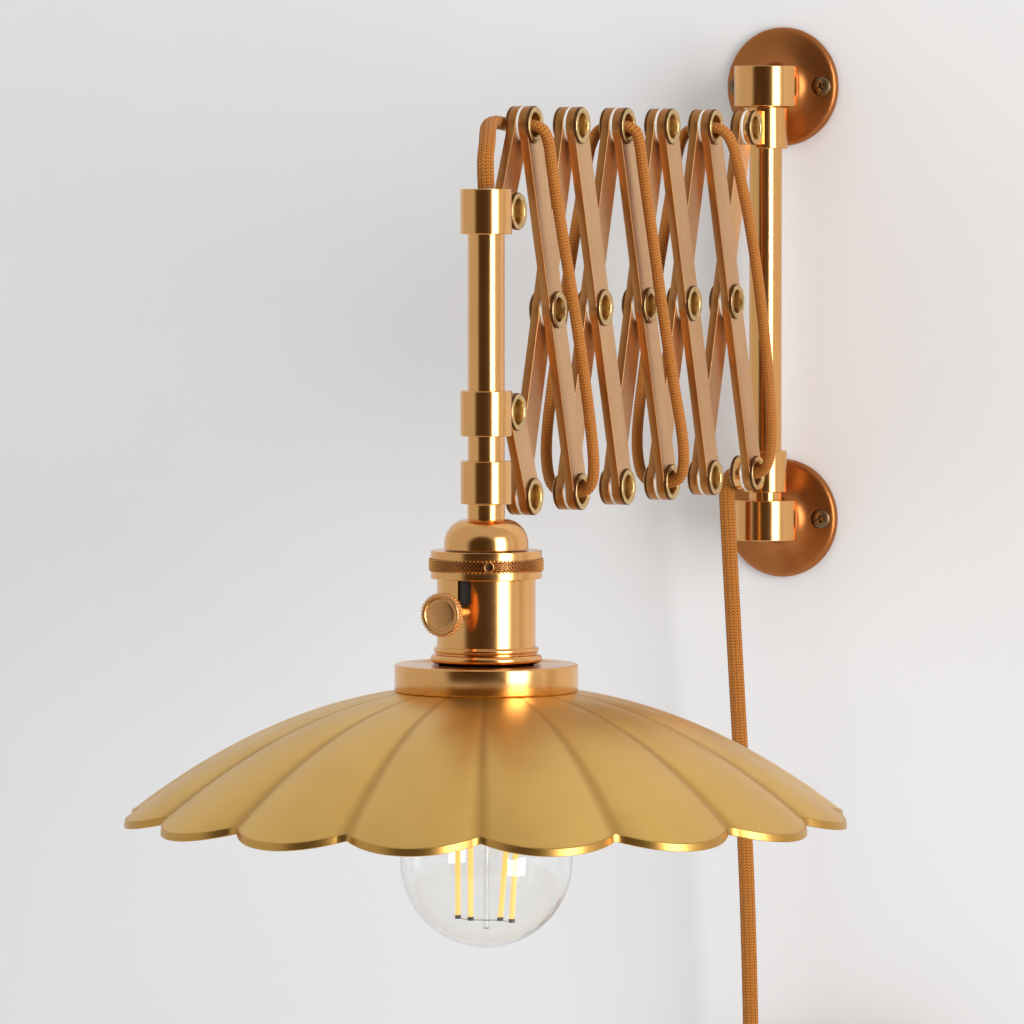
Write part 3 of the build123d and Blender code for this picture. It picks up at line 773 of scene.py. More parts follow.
def petal_grower() -> Grower:
    """Tree of the pleated shade: one petal from its rule, repeated round the axis.

    Returns:
        The tree.
    """
    grower = Grower("pleated shade", False)
    petals = grower.input("Petals", "Int")
    inner, outer, top, fall, straight, crease_top, crease_rim, scallop = (grower.input(name) for name in (
        "Inner radius", "Rim radius", "Top radius", "Fall", "Straight share", "Crease at top",
        "Crease at rim", "Scallop"))
    grid = grower.node("GeometryNodeMeshGrid", None,
                       {"Size X": 2.0, "Size Y": 1.0, "Vertices X": 33, "Vertices Y": 56})
    across, y, _ = grower.parts(grower.node("GeometryNodeInputPosition"))
    down = y + 0.5
    rim_share = 1.0 - scallop * across * across
    start = (inner - top) / (outer - top)
    share = start + (rim_share - start) * (1.0 - (1.0 - down) ** 1.5)
    low = abs(share) * 0.5 + share * 0.5
    radius, drop = petal_rule(across, share, low, (top, outer), (fall, straight), (crease_top, crease_rim))
    angle = across * pi / petals
    place = grower.vector(radius * angle.cosine(), radius * angle.sine(), 0.0 - drop)
    kept = grower.node("GeometryNodeCaptureAttribute", None, {"Geometry": grid})
    capture = kept.socket.node
    capture.capture_items.new("FLOAT", "across")
    grower.tree.links.new(across.socket, capture.inputs[1])
    petal = grower.node("GeometryNodeSetPosition", None, {"Geometry": kept, "Position": place})
    petal = grower.stored(petal, "across", "FLOAT", abs(Value(grower, capture.outputs[1])))
    spots = grower.node("GeometryNodeMeshLine", None, {"Count": petals, "Offset": (0.0, 0.0, 0.0)})
    number = grower.node("GeometryNodeInputIndex")
    grower.end(grower.copies(spots, petal, grower.vector(0.0, 0.0, number * tau / petals)))
    return grower


def cord_grower() -> Grower:
    """Tree that draws a ribbed oval braid along a cord's line and notes where each point is on it.

    The line carries the direction of the oval's broad side in its attribute broad.

    Returns:
        The tree.
    """
    grower = Grower("braid along a line")
    wide = grower.input("Half width")
    thin = grower.input("Half thickness")
    ribs = grower.input("Ribs", "Int")
    depth = grower.input("Rib depth")
    pace = grower.input("Pace")
    line = grower.node("GeometryNodeMeshToCurve", None, {"Mesh": grower.own()})
    line = grower.node("GeometryNodeResampleCurve", {"mode": "LENGTH"}, {"Curve": line, "Length": pace})
    length = grower.node("GeometryNodeSplineParameter", output="Length")
    side = grower.vectors("CROSS_PRODUCT", grower.node("GeometryNodeInputTangent"), grower.named("broad"))
    line = grower.stored(line, "along", "FLOAT", length)
    line = grower.stored(line, "core", "FLOAT_VECTOR", grower.node("GeometryNodeInputPosition"))
    line = grower.stored(line, "side", "FLOAT_VECTOR", side)
    ring = grower.node("GeometryNodeCurvePrimitiveCircle", {"mode": "RADIUS"},
                       {"Resolution": ribs * 4, "Radius": 0.003})
    turn = grower.node("GeometryNodeSplineParameter", output="Factor") * tau
    rib = abs((turn * ribs * 0.5).cosine())
    ring = grower.stored(ring, "around", "FLOAT_VECTOR", grower.vector(turn.cosine(), turn.sine(), rib))
    tube = grower.node("GeometryNodeCurveToMesh", None,
                       {"Curve": line, "Profile Curve": ring, "Fill Caps": True})
    cosine, sine, rib = grower.parts(grower.named("around"))
    dip = depth * (rib - 1.0)
    reach = grower.vectors("SCALE", grower.named("broad"), Scale=cosine * (wide + dip))
    lift = grower.vectors("SCALE", grower.named("side"), Scale=sine * (thin + dip))
    place = grower.vectors("ADD", grower.named("core"), grower.vectors("ADD", reach, lift))
    tube = grower.node("GeometryNodeSetPosition", None, {"Geometry": tube, "Position": place})
    tube = grower.node("GeometryNodeSetShadeSmooth", None, {"Geometry": tube, "Shade Smooth": True})
    grower.end(tube)
    return grower


# ---- Mesh helpers ----
def rounded(points: Profile, radius: float, closed: bool = True, steps: int = 3) -> Profile:
    """Rounds the corners of a profile and keeps a support point beside each.

    Args:
        points: the profile's corners.
        radius: distance along each run that a corner takes.
        closed: whether the last point joins the first.
        steps: points in each corner's arc, less one.

    Returns:
        The rounded profile.
    """
    made = []
    last = len(points) - 1
    for number, point in enumerate(points):
        here = Vector(point)
        if not closed and number in (0, last):
            made.append(tuple(here))
            continue
        before = Vector(points[number - 1]) - here
        after = Vector(points[(number + 1) % len(points)]) - here
        cut = min(radius, 0.42 * before.length, 0.42 * after.length)
        first, second = before.normalized(), after.normalized()
        guard = min(cut * 1.35, 0.46 * before.length)
        made.append(tuple(here + first * guard))
        for step in range(steps + 1):
            share = step / steps
            place = here + first * cut * (1 - share) ** 2 + second * cut * share ** 2
            made.append(tuple(place))
        guard = min(cut * 1.35, 0.46 * after.length)
        made.append(tuple(here + second * guard))
    return made


def smooth_run(points: Profile, steps: int = 6) -> Profile:
    """Smooth line through points, end to end.

    Args:
        points: places that the line passes.
        steps: pieces between two places.

    Returns:
        The finer line.
    """
    padded = [points[0], *points, points[-1]]
    made = []
    for a, b, c, d in zip(padded, padded[1:], padded[2:], padded[3:]):
        a, b, c, d = (Vector(point) for point in (a, b, c, d))
        for step in range(steps):
            t = step / steps
            made.append(tuple(0.5 * (2 * b + (c - a) * t + (2 * a - 5 * b + 4 * c - d) * t * t
                                     + (3 * b - a - 3 * c + d) * t ** 3)))
    made.append(tuple(points[-1]))
    return made


def spun(profile: Profile, segments: int = 96, closed: bool = True) -> Body:
    """Spins a profile of (radius, height) about Z.

    Args:
        profile: the outline; points at radius 0 become one pole each.
        segments: faces round the axis.
        closed: whether the outline is a closed loop, as for a ring.

    Returns:
        The mesh, facing outwards.
    """
    mesh = bmesh.new()
    rings = []
    for radius, height in profile:
        if radius < POLE:
            rings.append([mesh.verts.new((0.0, 0.0, height))] * segments)
            continue
        turns = (tau * step / segments for step in range(segments))
        rings.append([mesh.verts.new((radius * cos(t), radius * sin(t), height)) for t in turns])
    return skinned(mesh, rings, closed)


def solid(profile: Profile, radius: float = 0.4, segments: int = 96) -> Body:
    """Spins a solid whose profile runs from axis to axis, with rounded corners."""
    return spun(rounded(profile, radius, False), segments, False)


def ring_of(profile: Profile, radius: float = 0.4, segments: int = 96) -> Body:
    """Spins a ring from a closed profile, with rounded corners."""
    return spun(rounded(profile, radius), segments)


def barrel_profile(radius: float, low: float, high: float) -> Profile:
    """Profile of a plain solid cylinder."""
    return [(0.0, low), (radius, low), (radius, high), (0.0, high)]


def pipe_profile(outer: float, inner: float, low: float, high: float) -> Profile:
    """Closed profile of a plain pipe."""
    return [(inner, low), (outer, low), (outer, high), (inner, high)]


def shape_of(mesh: bpy.types.Mesh, scale: float = 1.0) -> Body:
    """Reads a mesh for editing, by a scale.

    Args:
        mesh: the mesh.
        scale: factor on it.

    Returns:
        The editable mesh.
    """
    made = bmesh.new()
    made.from_mesh(mesh)
    made.transform(Matrix.Scale(scale, 4))
    return made


def box(size: Triple, place: Matrix) -> Body:
    """Block of a size about a place.

    Args:
        size: its three sizes.
        place: its place.

    Returns:
        The block.
    """
    made = bmesh.new()
    bmesh.ops.create_cube(made, size=1.0, matrix=place @ Matrix.Diagonal((*size, 1)))
    return made


def skinned(mesh: Body, rings: list[list[bmesh.types.BMVert]], closed: bool, smooth: bool = True) -> Body:
    """Joins rings of corners by faces.

    Args:
        mesh: the mesh that the corners are in.
        rings: rings with equal numbers of corners, where a pole is one corner over and over.
        closed: whether the last ring joins the first.
        smooth: whether the faces are smooth.

    Returns:
        The same mesh, facing outwards.
    """
    count = len(rings[0])
    for low, high in zip(rings, rings[1:] + (rings[:1] if closed else [])):
        for step in range(count):
            after = (step + 1) % count
            corners = dict.fromkeys((low[step], low[after], high[after], high[step]))
            if len(corners) > 2:
                mesh.faces.new(corners).smooth = smooth
    bmesh.ops.recalc_face_normals(mesh, faces=mesh.faces)
    return mesh


def moved(mesh: Body, matrix: Matrix) -> Body:
    """Moves a mesh and returns it."""
    mesh.transform(matrix)
    return mesh


def together(*meshes: Body) -> Body:
    """Puts meshes into one.

    Args:
        meshes: the meshes, which are used up.

    Returns:
        The one mesh.
    """
    whole = bmesh.new()
    for mesh in meshes:
        held = bpy.data.meshes.new("held")
        mesh.to_mesh(held)
        whole.from_mesh(held)
        bpy.data.meshes.remove(held)
        mesh.free()
    return whole


def at(x: float, y: float, z: float) -> Matrix:
    """Move by three distances."""
    return Matrix.Translation((x, y, z))


def turned(angle: float, axis: str) -> Matrix:
    """Turn by degrees about an axis."""
    return Matrix.Rotation(radians(angle), 4, axis)


ALONG_X = turned(90, "Y")
TOWARD_ROOM = turned(90, "X")


def loose_object(name: str, mesh: Body | bpy.types.Mesh, scale: float = MM) -> Thing:
    """Makes an object of a mesh, in metres, at the origin.

    Args:
        name: the object's name.
        mesh: the shape, in millimetres unless scale is 1.
        scale: factor on the mesh.

    Returns:
        The object.
    """
    if isinstance(mesh, Body):
        data = bpy.data.meshes.new(name)
        mesh.to_mesh(data)
        mesh.free()
    else:
        data = mesh
    data.name = name
    if scale != 1.0:
        data.transform(Matrix.Scale(scale, 4))
    return linked(name, data)


def cut(blank: Body, *tools: Body) -> Body:
    """Cuts tools out of a blank.

    Args:
        blank: the body that stays.
        tools: the bodies that are taken away.

    Returns:
        The cut body.
    """
    body = loose_object("blank", blank, 1.0)
    knives = [loose_object("knife", tool, 1.0) for tool in tools]
    for knife in knives:
        modifier = body.modifiers.new("cut", "BOOLEAN")
        modifier.operation = "DIFFERENCE"
        modifier.solver = "EXACT"
        modifier.object = knife
    made = shape_of(evaluated(body))
    for thing in (body, *knives):
        bpy.data.objects.remove(thing)
    return made


def flat_where_plain(mesh: Body, limit: float) -> None:
    """Marks edges sharp where a body's faces meet at more than a limit in degrees.

    Args:
        mesh: the body.
        limit: the angle in degrees.
    """
    for edge in mesh.edges:
        if len(edge.link_faces) == 2:
            edge.smooth = edge.calc_face_angle(0.0) < radians(limit)


class Workshop:
    """Makes objects of meshes, dresses them and puts them on their bodies."""

    def __init__(self, finishes: Finishes) -> None:
        """Keeps the finishes and builds the shared trees.

        Args:
            finishes: the lamp's finishes.
        """
        self.finishes = finishes
        self.repeat = repeater()
        self.band = band_repeater()
        self.braid = cord_grower()
        self.petals = petal_grower()
        self.count = 0

    def dress(self, made: Thing, finish: str, body: str, *nodes: str) -> Thing:
        """Gives an object its finish and body, and hides the CAD nodes that it stands for.

        Args:
            made: the finished object.
            finish: name of its finish.
            body: body that it rides on.
            nodes: CAD nodes that it replaces.

        Returns:
            The same object.
        """
        if not made.data.materials:
            made.data.materials.append(self.finishes.materials[finish])
        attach(made, body)
        if nodes:
            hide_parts(*nodes)
        self.count += 1
        LOG.info("%s on %s, %d faces", made.name, body, len(made.data.polygons))
        return made

    def piece(self, name: str, mesh: Body, finish: str, body: str,
              *nodes: str) -> Thing:
        """Makes a dressed piece of a mesh in millimetres."""
        return self.dress(loose_object(name, mesh), finish, body, *nodes)

    def repeated(self, name: str, sample: Body, places: list[tuple[Vector, tuple]],
                 finish: str, body: str, *nodes: str) -> Thing:
        """Makes one piece of equal shapes at several places.

        Args:
            name: the piece's name.
            sample: one shape, in millimetres, at the origin.
            places: a place in millimetres and a turn in radians for each shape.
            finish: name of the finish.
            body: body that the piece rides on.
            nodes: CAD nodes that it replaces.

        Returns:
            The dressed piece.
        """
        shape = loose_object("sample", sample)
        points = bpy.data.meshes.new("places")
        points.from_pydata([MM * place for place, _ in places], [], [])
        turns = points.attributes.new("turn", "FLOAT_VECTOR", "POINT")
        for item, (_, turn) in zip(turns.data, places):
            item.vector = turn
        start = loose_object("start", points, 1.0)
        values = {"Piece": shape, "Finish": self.finishes.materials[finish]}
        grown = self.repeat.grow(start, values)
        bpy.data.objects.remove(shape)
        return self.dress(loose_object(name, grown, 1.0), finish, body, *nodes)

    def banded(self, sample: Body, count: int, rows: int, radius: float, row_step: float,
               first: float, finish: str) -> Body:
        """Repeats a shape in a band round Z.

        Args:
            sample: one shape, in millimetres, that faces +X.
            count: shapes in a row.
            rows: number of rows.
            radius: radius of the band.
            row_step: distance between rows.
            first: height of the first row.
            finish: name of the finish.

        Returns:
            The band's mesh in millimetres.
        """
        shape = loose_object("sample", sample)
        start = loose_object("start", bmesh.new(), 1.0)
        values = {"Piece": shape, "Count": count, "Rows": rows, "Radius": MM * radius,
                  "Row step": MM * row_step, "First height": MM * first,
                  "Finish": self.finishes.materials[finish]}
        grown = self.band.grow(start, values)
        bpy.data.objects.remove(shape)
        return shape_of(grown, 1 / MM)


# ---- Places that the sub-assemblies share ----
@dataclass
class Layout:
    """Pivots and levels of the lamp, as in the part's source."""

    pairs: int = 5
    link_length: float = 182.0
    rest_angle: float = 17.6
    short_length: float = 44.5
    short_angle: float = 25.5
    pivot_offset: float = 24.0
    rod_standoff: float = 24.0
    rose_z: float = 109.55
    inner_x: float = 0.65
    outer_x: float = 4.85
    upper_z: float = 88.55
    tube_top: float = 58.888

    def inner(self, side: Side) -> float:
        """X of the lower face of a plate in a layer."""
        return self.inner_x if side is Side.NEAR else -self.outer_x

    def pitch(self) -> float:
        """Distance between neighbouring pivots of a row."""
        return self.link_length * sin(radians(self.rest_angle))

    def upper(self, index: int) -> Vector:
        """Upper pivot, 0 at the front."""
        return Vector((0, -self.rod_standoff - self.pivot_offset - (self.pairs - index) * self.pitch(),
                       self.upper_z))

    def lower(self, index: int) -> Vector:
        """Lower pivot, 0 at the front."""
        drop = self.link_length * cos(radians(self.rest_angle))
        return self.upper(index) - Vector((0, 0, drop))

    def middle(self, index: int) -> Vector:
        """Crossing of a pair, 1 to pairs."""
        return (self.upper(index - 1) + self.lower(index)) / 2

    def short_step(self, up: float) -> Vector:
        """From a front row pivot to a collar's pivot."""
        turn = radians(self.short_angle)
        return Vector((0, -self.short_length * sin(turn), up * self.short_length * cos(turn)))

    def front_upper(self) -> Vector:
        """Pivot on the upper front collar."""
        return self.upper(0) + self.short_step(-1)

    def front_lower(self) -> Vector:
        """Pivot on the lower front collar."""
        return self.lower(0) + self.short_step(1)

    def tube_y(self) -> float:
        """Y of the front tube's axis."""
        return self.front_upper().y - self.pivot_offset


# ---- Cord ----
@dataclass
class ThreadedCord:
    """The braided cord from the front tube through the arm's eyelets to its coil and plug."""

    layout: Layout
    round_section: tuple = (3.6, 3.4)
    oval_section: tuple = (4.2, 2.75)
    split: float = 0.15
    near_first: tuple = ((8.6, 0), (11.6, 7.5), (11.2, 22), (12.4, 55), (13.6, 90), (14.4, -56),
                         (14.2, -24), (12.8, -7.5), (8.6, 182))
    near_middle: tuple = ((8.6, 0), (10.6, 7.5), (10.4, 22), (11.1, 55), (11.5, 90), (12.4, -56),
                          (14.2, -24), (12.8, -7.5), (8.6, 182))
    near_last: tuple = ((8.6, 0), (13.4, 7.5), (15.2, 22), (17.8, 55), (18.6, 90), (18.0, -56),
                        (16.4, -24), (13.2, -7.5), (8.6, 182))
    far: tuple = ((8.6, 0), (12.8, 7.5), (13.8, 22), (15.2, 55), (16.4, 90), (17.0, -56), (16.8, -24),
                  (13.4, -7.5), (8.6, 182))
    hanging: tuple = ((-8.6, 0, 0), (-11.4, 0, -7.5), (-10.6, 0.4, -24), (-9.2, 2, -60),
                      (-7.6, 5.4, -110), (-5.2, 8.6, -170), (-3.4, 11.2, -230), (-2.4, 12.0, -287))
    arch: tuple = ((0, 0, 0.3), (-0.5, 0.3, 8), (-1.5, 2.5, 15), (-3, 8, 21.5), (-6, 15, 26.5),
                   (-9, 23, 29.5), (-11.5, 31, 31), (-12.3, 38.5, 31))
    coil_gap: float = 0.3
    coil_entry: float = 58.0
    coil_outer: float = 50.0
    coil_pitch: float = 7.6
    coil_turns: int = 2
    coil_tail: float = 62.0
    coil_steps: int = 7
    plug_body: Triple = (26.0, 16.0, 34.0)
    plug_rib: Triple = (19.0, 16.8, 1.3)
    plug_ribs: int = 5
    plug_rib_step: float = 3.2
    plug_blade: Triple = (1.5, 6.3, 17.0)
    plug_blade_spacing: float = 12.7
    tie_width: float = 7.0
    tie_thickness: float = 0.9

    def along_link(self, upper: Vector, lower: Vector, side: Side, shape: tuple) -> list[Vector]:
        """Route beside a link, from inside its upper eyelet to inside its lower one.

        Args:
            upper: the upper eyelet.
            lower: the lower eyelet.
            side: layer that the cord lies beside.
            shape: (stand-off, distance along the link) pairs.

        Returns:
            The route's points in millimetres.
        """
        run = lower - upper
        along = run.normalized()
        out = Vector((side.value, 0, 0))
        points = [upper + out * self.split]
        for standoff, distance in shape:
            place = min(distance % run.length if distance < 0 else distance, run.length)
            points.append(upper + along * place + out * standoff)
        return [*points, lower + out * self.split]

    def front(self) -> list[Vector]:
        """Route from the front tube's top in an arch to the far side and into the first eyelet.

        Returns:
            The route's points in millimetres.
        """
        first, mouth = self.layout.upper(0), Vector((0, self.layout.tube_y(), self.layout.tube_top))
        return [*(mouth + Vector(step) for step in self.arch), first + Vector((-8.8, 0, 0)),
                first + Vector((-self.split, 0, 0))]

    def hanging_route(self) -> list[Vector]:
        """Route from the last eyelet down past the lower wall socket."""
        last = self.layout.lower(self.layout.pairs)
        return [last + Vector((-self.split, 0, 0))] + [last + Vector(step) for step in self.hanging]

    def coil_route(self) -> list[Vector]:
        """Route of the put-away coil: half turns inward, a climb, half turns outward, and a tail.

        Returns:
            The route's points in millimetres.
        """
        top = self.hanging_route()[-1] + Vector((0, 0, -self.coil_gap))
        shrink = self.coil_pitch / 2
        inward = [self.coil_outer - shrink * step for step in range(2 * self.coil_turns)]
        climb = inward[-1] - shrink
        outward = [climb + shrink * (step + 1) for step in range(2 * self.coil_turns + 1)]
        place = top + Vector((0, 0, -self.coil_entry))
        points = [top, top + Vector((0, 0, -self.coil_entry * 0.45))]
        for number, radius in enumerate([*inward, climb, *outward]):
            heading = 1 if number % 2 == 0 else -1
            depth = self.coil_pitch if radius == climb else 0.0
            end = place + Vector((heading * 2 * radius, depth, 0))
            centre, arm = (place + end) / 2, place - (place + end) / 2
            for step in range(self.coil_steps):
                turn = pi * (step + 0.5) / self.coil_steps
                dip = Vector((0, 0, -heading * radius * sin(turn)))
                points.append(centre + (arm * cos(turn) + dip) * 1.026)
            place = end
        points.append(place + Vector((0, 0, -self.coil_tail * 0.4)))
        return [*points, place + Vector((0, 0, -self.coil_tail))]

    def line(self, name: str, points: list[Vector]) -> bpy.types.Mesh:
        """Smooth line over a route, as a mesh of edges in metres.

        Args:
            name: the line's name.
            points: the route's points in millimetres.

        Returns:
            Points and edges along the smooth line.
        """
        curve = bpy.data.curves.new(name, "CURVE")
        curve.dimensions = "3D"
        curve.resolution_u = 16
        spline = curve.splines.new("NURBS")
        spline.points.add(len(points) - 1)
        for item, point in zip(spline.points, points):
            item.co = (*(point * MM), 1.0)
        spline.order_u = 3
        spline.use_endpoint_u = True
        holder = linked(name, curve)
        mesh = evaluated(holder)
        bpy.data.objects.remove(holder)
        return mesh

    @staticmethod
    def carry_broad(line: bpy.types.Mesh, broad: Vector) -> None:
        """Notes the broad side's direction along a line, carried on without twist.

        Args:
            line: the line.
            broad: the direction at its start.
        """
        spots = [vertex.co for vertex in line.vertices]
        notes = line.attributes.new("broad", "FLOAT_VECTOR", "POINT")
        for number, item in enumerate(notes.data):
            ahead = spots[min(number + 1, len(spots) - 1)] - spots[max(number - 1, 0)]
            run = ahead.normalized()
            broad = (broad - run * broad.dot(run)).normalized()
            item.vector = broad

    def stretch(self, shop: Workshop, name: str, points: list[Vector], body: str, node: str, lay: str,
                broad: Vector) -> Thing:
        """Draws one stretch of the cord and dresses it.

        Args:
            shop: the workshop.
            name: the piece's name.
            points: its route in millimetres.
            body: body that it rides on.
            node: CAD node that it replaces.
            lay: how it lies.
            broad: direction of the oval's broad side at its start.

        Returns:
            The braided tube.
        """
        line = self.line(name, points)
        self.carry_broad(line, broad)
        wide, thin = self.round_section if lay == "coiled" else self.oval_section
        start = loose_object("start", line, 1.0)
        values = {"Half width": MM * wide, "Half thickness": MM * thin, **BRAID,
                  "Finish": shop.finishes.materials["cord"]}
        grown = shop.braid.grow(start, values)
        tube = shape_of(grown)
        bmesh.ops.recalc_face_normals(tube, faces=tube.faces)
        tube.to_mesh(grown)
        tube.free()
        made = loose_object(name, grown, 1.0)
        shop.dress(made, "cord", body, node)
        return made

    def build(self, shop: Workshop) -> None:
        """Makes every stretch, the coil's ties and the plug.

        Args:
            shop: the workshop.
        """
        lay = self.layout
        across_x, across_y, across_z = Vector((1, 0, 0)), Vector((0, 1, 0)), Vector((0, 0, 1))
        self.stretch(shop, "cord_over_tube", self.front(), "far_0", "cord_front", "loose", across_x)
        for pair, shape in ((1, self.near_first), (3, self.near_middle), (5, self.near_last)):
            route = self.along_link(lay.upper(pair - 1), lay.lower(pair), Side.NEAR, shape)
            self.stretch(shop, f"cord_near_side_{pair}", route, f"near_{pair}", f"cord_near_{pair}", "loose",
                         across_y)
        for pair in (2, 4):
            route = self.along_link(lay.upper(pair), lay.lower(pair - 1), Side.FAR, self.far)
            self.stretch(shop, f"cord_far_side_{pair}", route, f"far_{pair}", f"cord_far_{pair}", "loose",
                         across_y)
        self.stretch(shop, "cord_down_wall", self.hanging_route(), "lower_wall_slide", "cord_hanging",
                     "hanging", across_z)
        route = self.coil_route()
        plug = shop.piece("mains_plug", self.plug_mesh(route[-1]), "plug", "wall_mount", "plug")
        ties = [shop.piece(f"coil_tie_{name}", self.tie(route, heading), "black", "wall_mount")
                for name, heading in (("left", radians(-52)), ("right", radians(-128)))]
        self.stretch(shop, "cord_put_away", route, "wall_mount", "cord_coil", "coiled", across_x)

    def tie(self, route: list[Vector], heading: float) -> Body:
        """Flat strap round every turn of the coil at one place.

        Args:
            route: the coil's route.
            heading: where the strap is, in radians from +X toward +Z, seen about the coil's middle.

        Returns:
            The strap's mesh in place.
        """
        turns = route[2:-2]
        middle = Vector(((max(p.x for p in turns) + min(p.x for p in turns)) / 2, 0,
                         (max(p.z for p in turns) + min(p.z for p in turns)) / 2))
        out = Vector((cos(heading), 0, sin(heading)))
        line = self.line("tie guide", route)
        near = []
        for vertex in line.vertices:
            arm = vertex.co / MM - middle
            flat = Vector((arm.x, 0, arm.z))
            if flat.length > 15 and flat.normalized().dot(out) > 0.997:
                near.append((flat.length, vertex.co.y / MM))
        half = max(self.round_section)
        low, high = min(n[0] for n in near) - half, max(n[0] for n in near) + half
        back, front = max(n[1] for n in near) + half, min(n[1] for n in near) - half
        side = Vector((-out.z, 0, out.x))
        loop = rounded([(low - 0.5, front - 0.5), (high + 0.5, front - 0.5), (high + 0.5, back + 0.5),
                        (low - 0.5, back + 0.5)], half, True, 6)
        centre = Vector(((low + high) / 2, (front + back) / 2))
        half_width, thick = self.tie_width / 2, self.tie_thickness
        mesh = bmesh.new()
        rings = []
        for r, y in loop:
            spread = (Vector((r, y)) - centre).normalized()
            corner = []
            for across, lift in ((-half_width, 0.0), (half_width, 0.0), (half_width, thick),
                                 (-half_width, thick)):
                spot = Vector((r, y)) + spread * lift
                corner.append(mesh.verts.new(middle + out * spot.x + Vector((0, spot.y, 0)) + side * across))
            rings.append(corner)
        skinned(mesh, rings, True, False)
        bmesh.ops.remove_doubles(mesh, verts=mesh.verts, dist=0.01)
        bmesh.ops.recalc_face_normals(mesh, faces=mesh.faces)
        return mesh

    def plug_mesh(self, top: Vector) -> Body:
        """Plain two-blade plug with a ribbed grip and a tapered relief.

        Args:
            top: where the cord enters it.

        Returns:
            The mesh in place.
        """
        body = box(self.plug_body, at(0, 0, -self.plug_body[2] / 2))
        bmesh.ops.bevel(body, geom=body.edges[:], offset=3.2, segments=4, profile=0.6, affect="EDGES")
        for face in body.faces:
            face.smooth = True
        parts = [body, spun(smooth_run([(0, 0.2), (4.2, 0.2), (5.0, -4), (6.4, -8)], 4) + [(0, -8)], 32,
                            False)]
        for rib in range(self.plug_ribs):
            grip = box(self.plug_rib, at(0, 0, -10 - self.plug_rib_step * rib))
            bmesh.ops.bevel(grip, geom=grip.edges[:], offset=0.5, segments=2, affect="EDGES")
            parts.append(grip)
        for side in (-1, 1):
            blade = box(self.plug_blade, at(side * self.plug_blade_spacing / 2, 0,
                                            -self.plug_body[2] - self.plug_blade[2] / 2))
            bmesh.ops.bevel(blade, geom=blade.edges[:], offset=0.4, segments=2, affect="EDGES")
            parts.append(blade)
        return moved(together(*parts), Matrix.Translation(top))


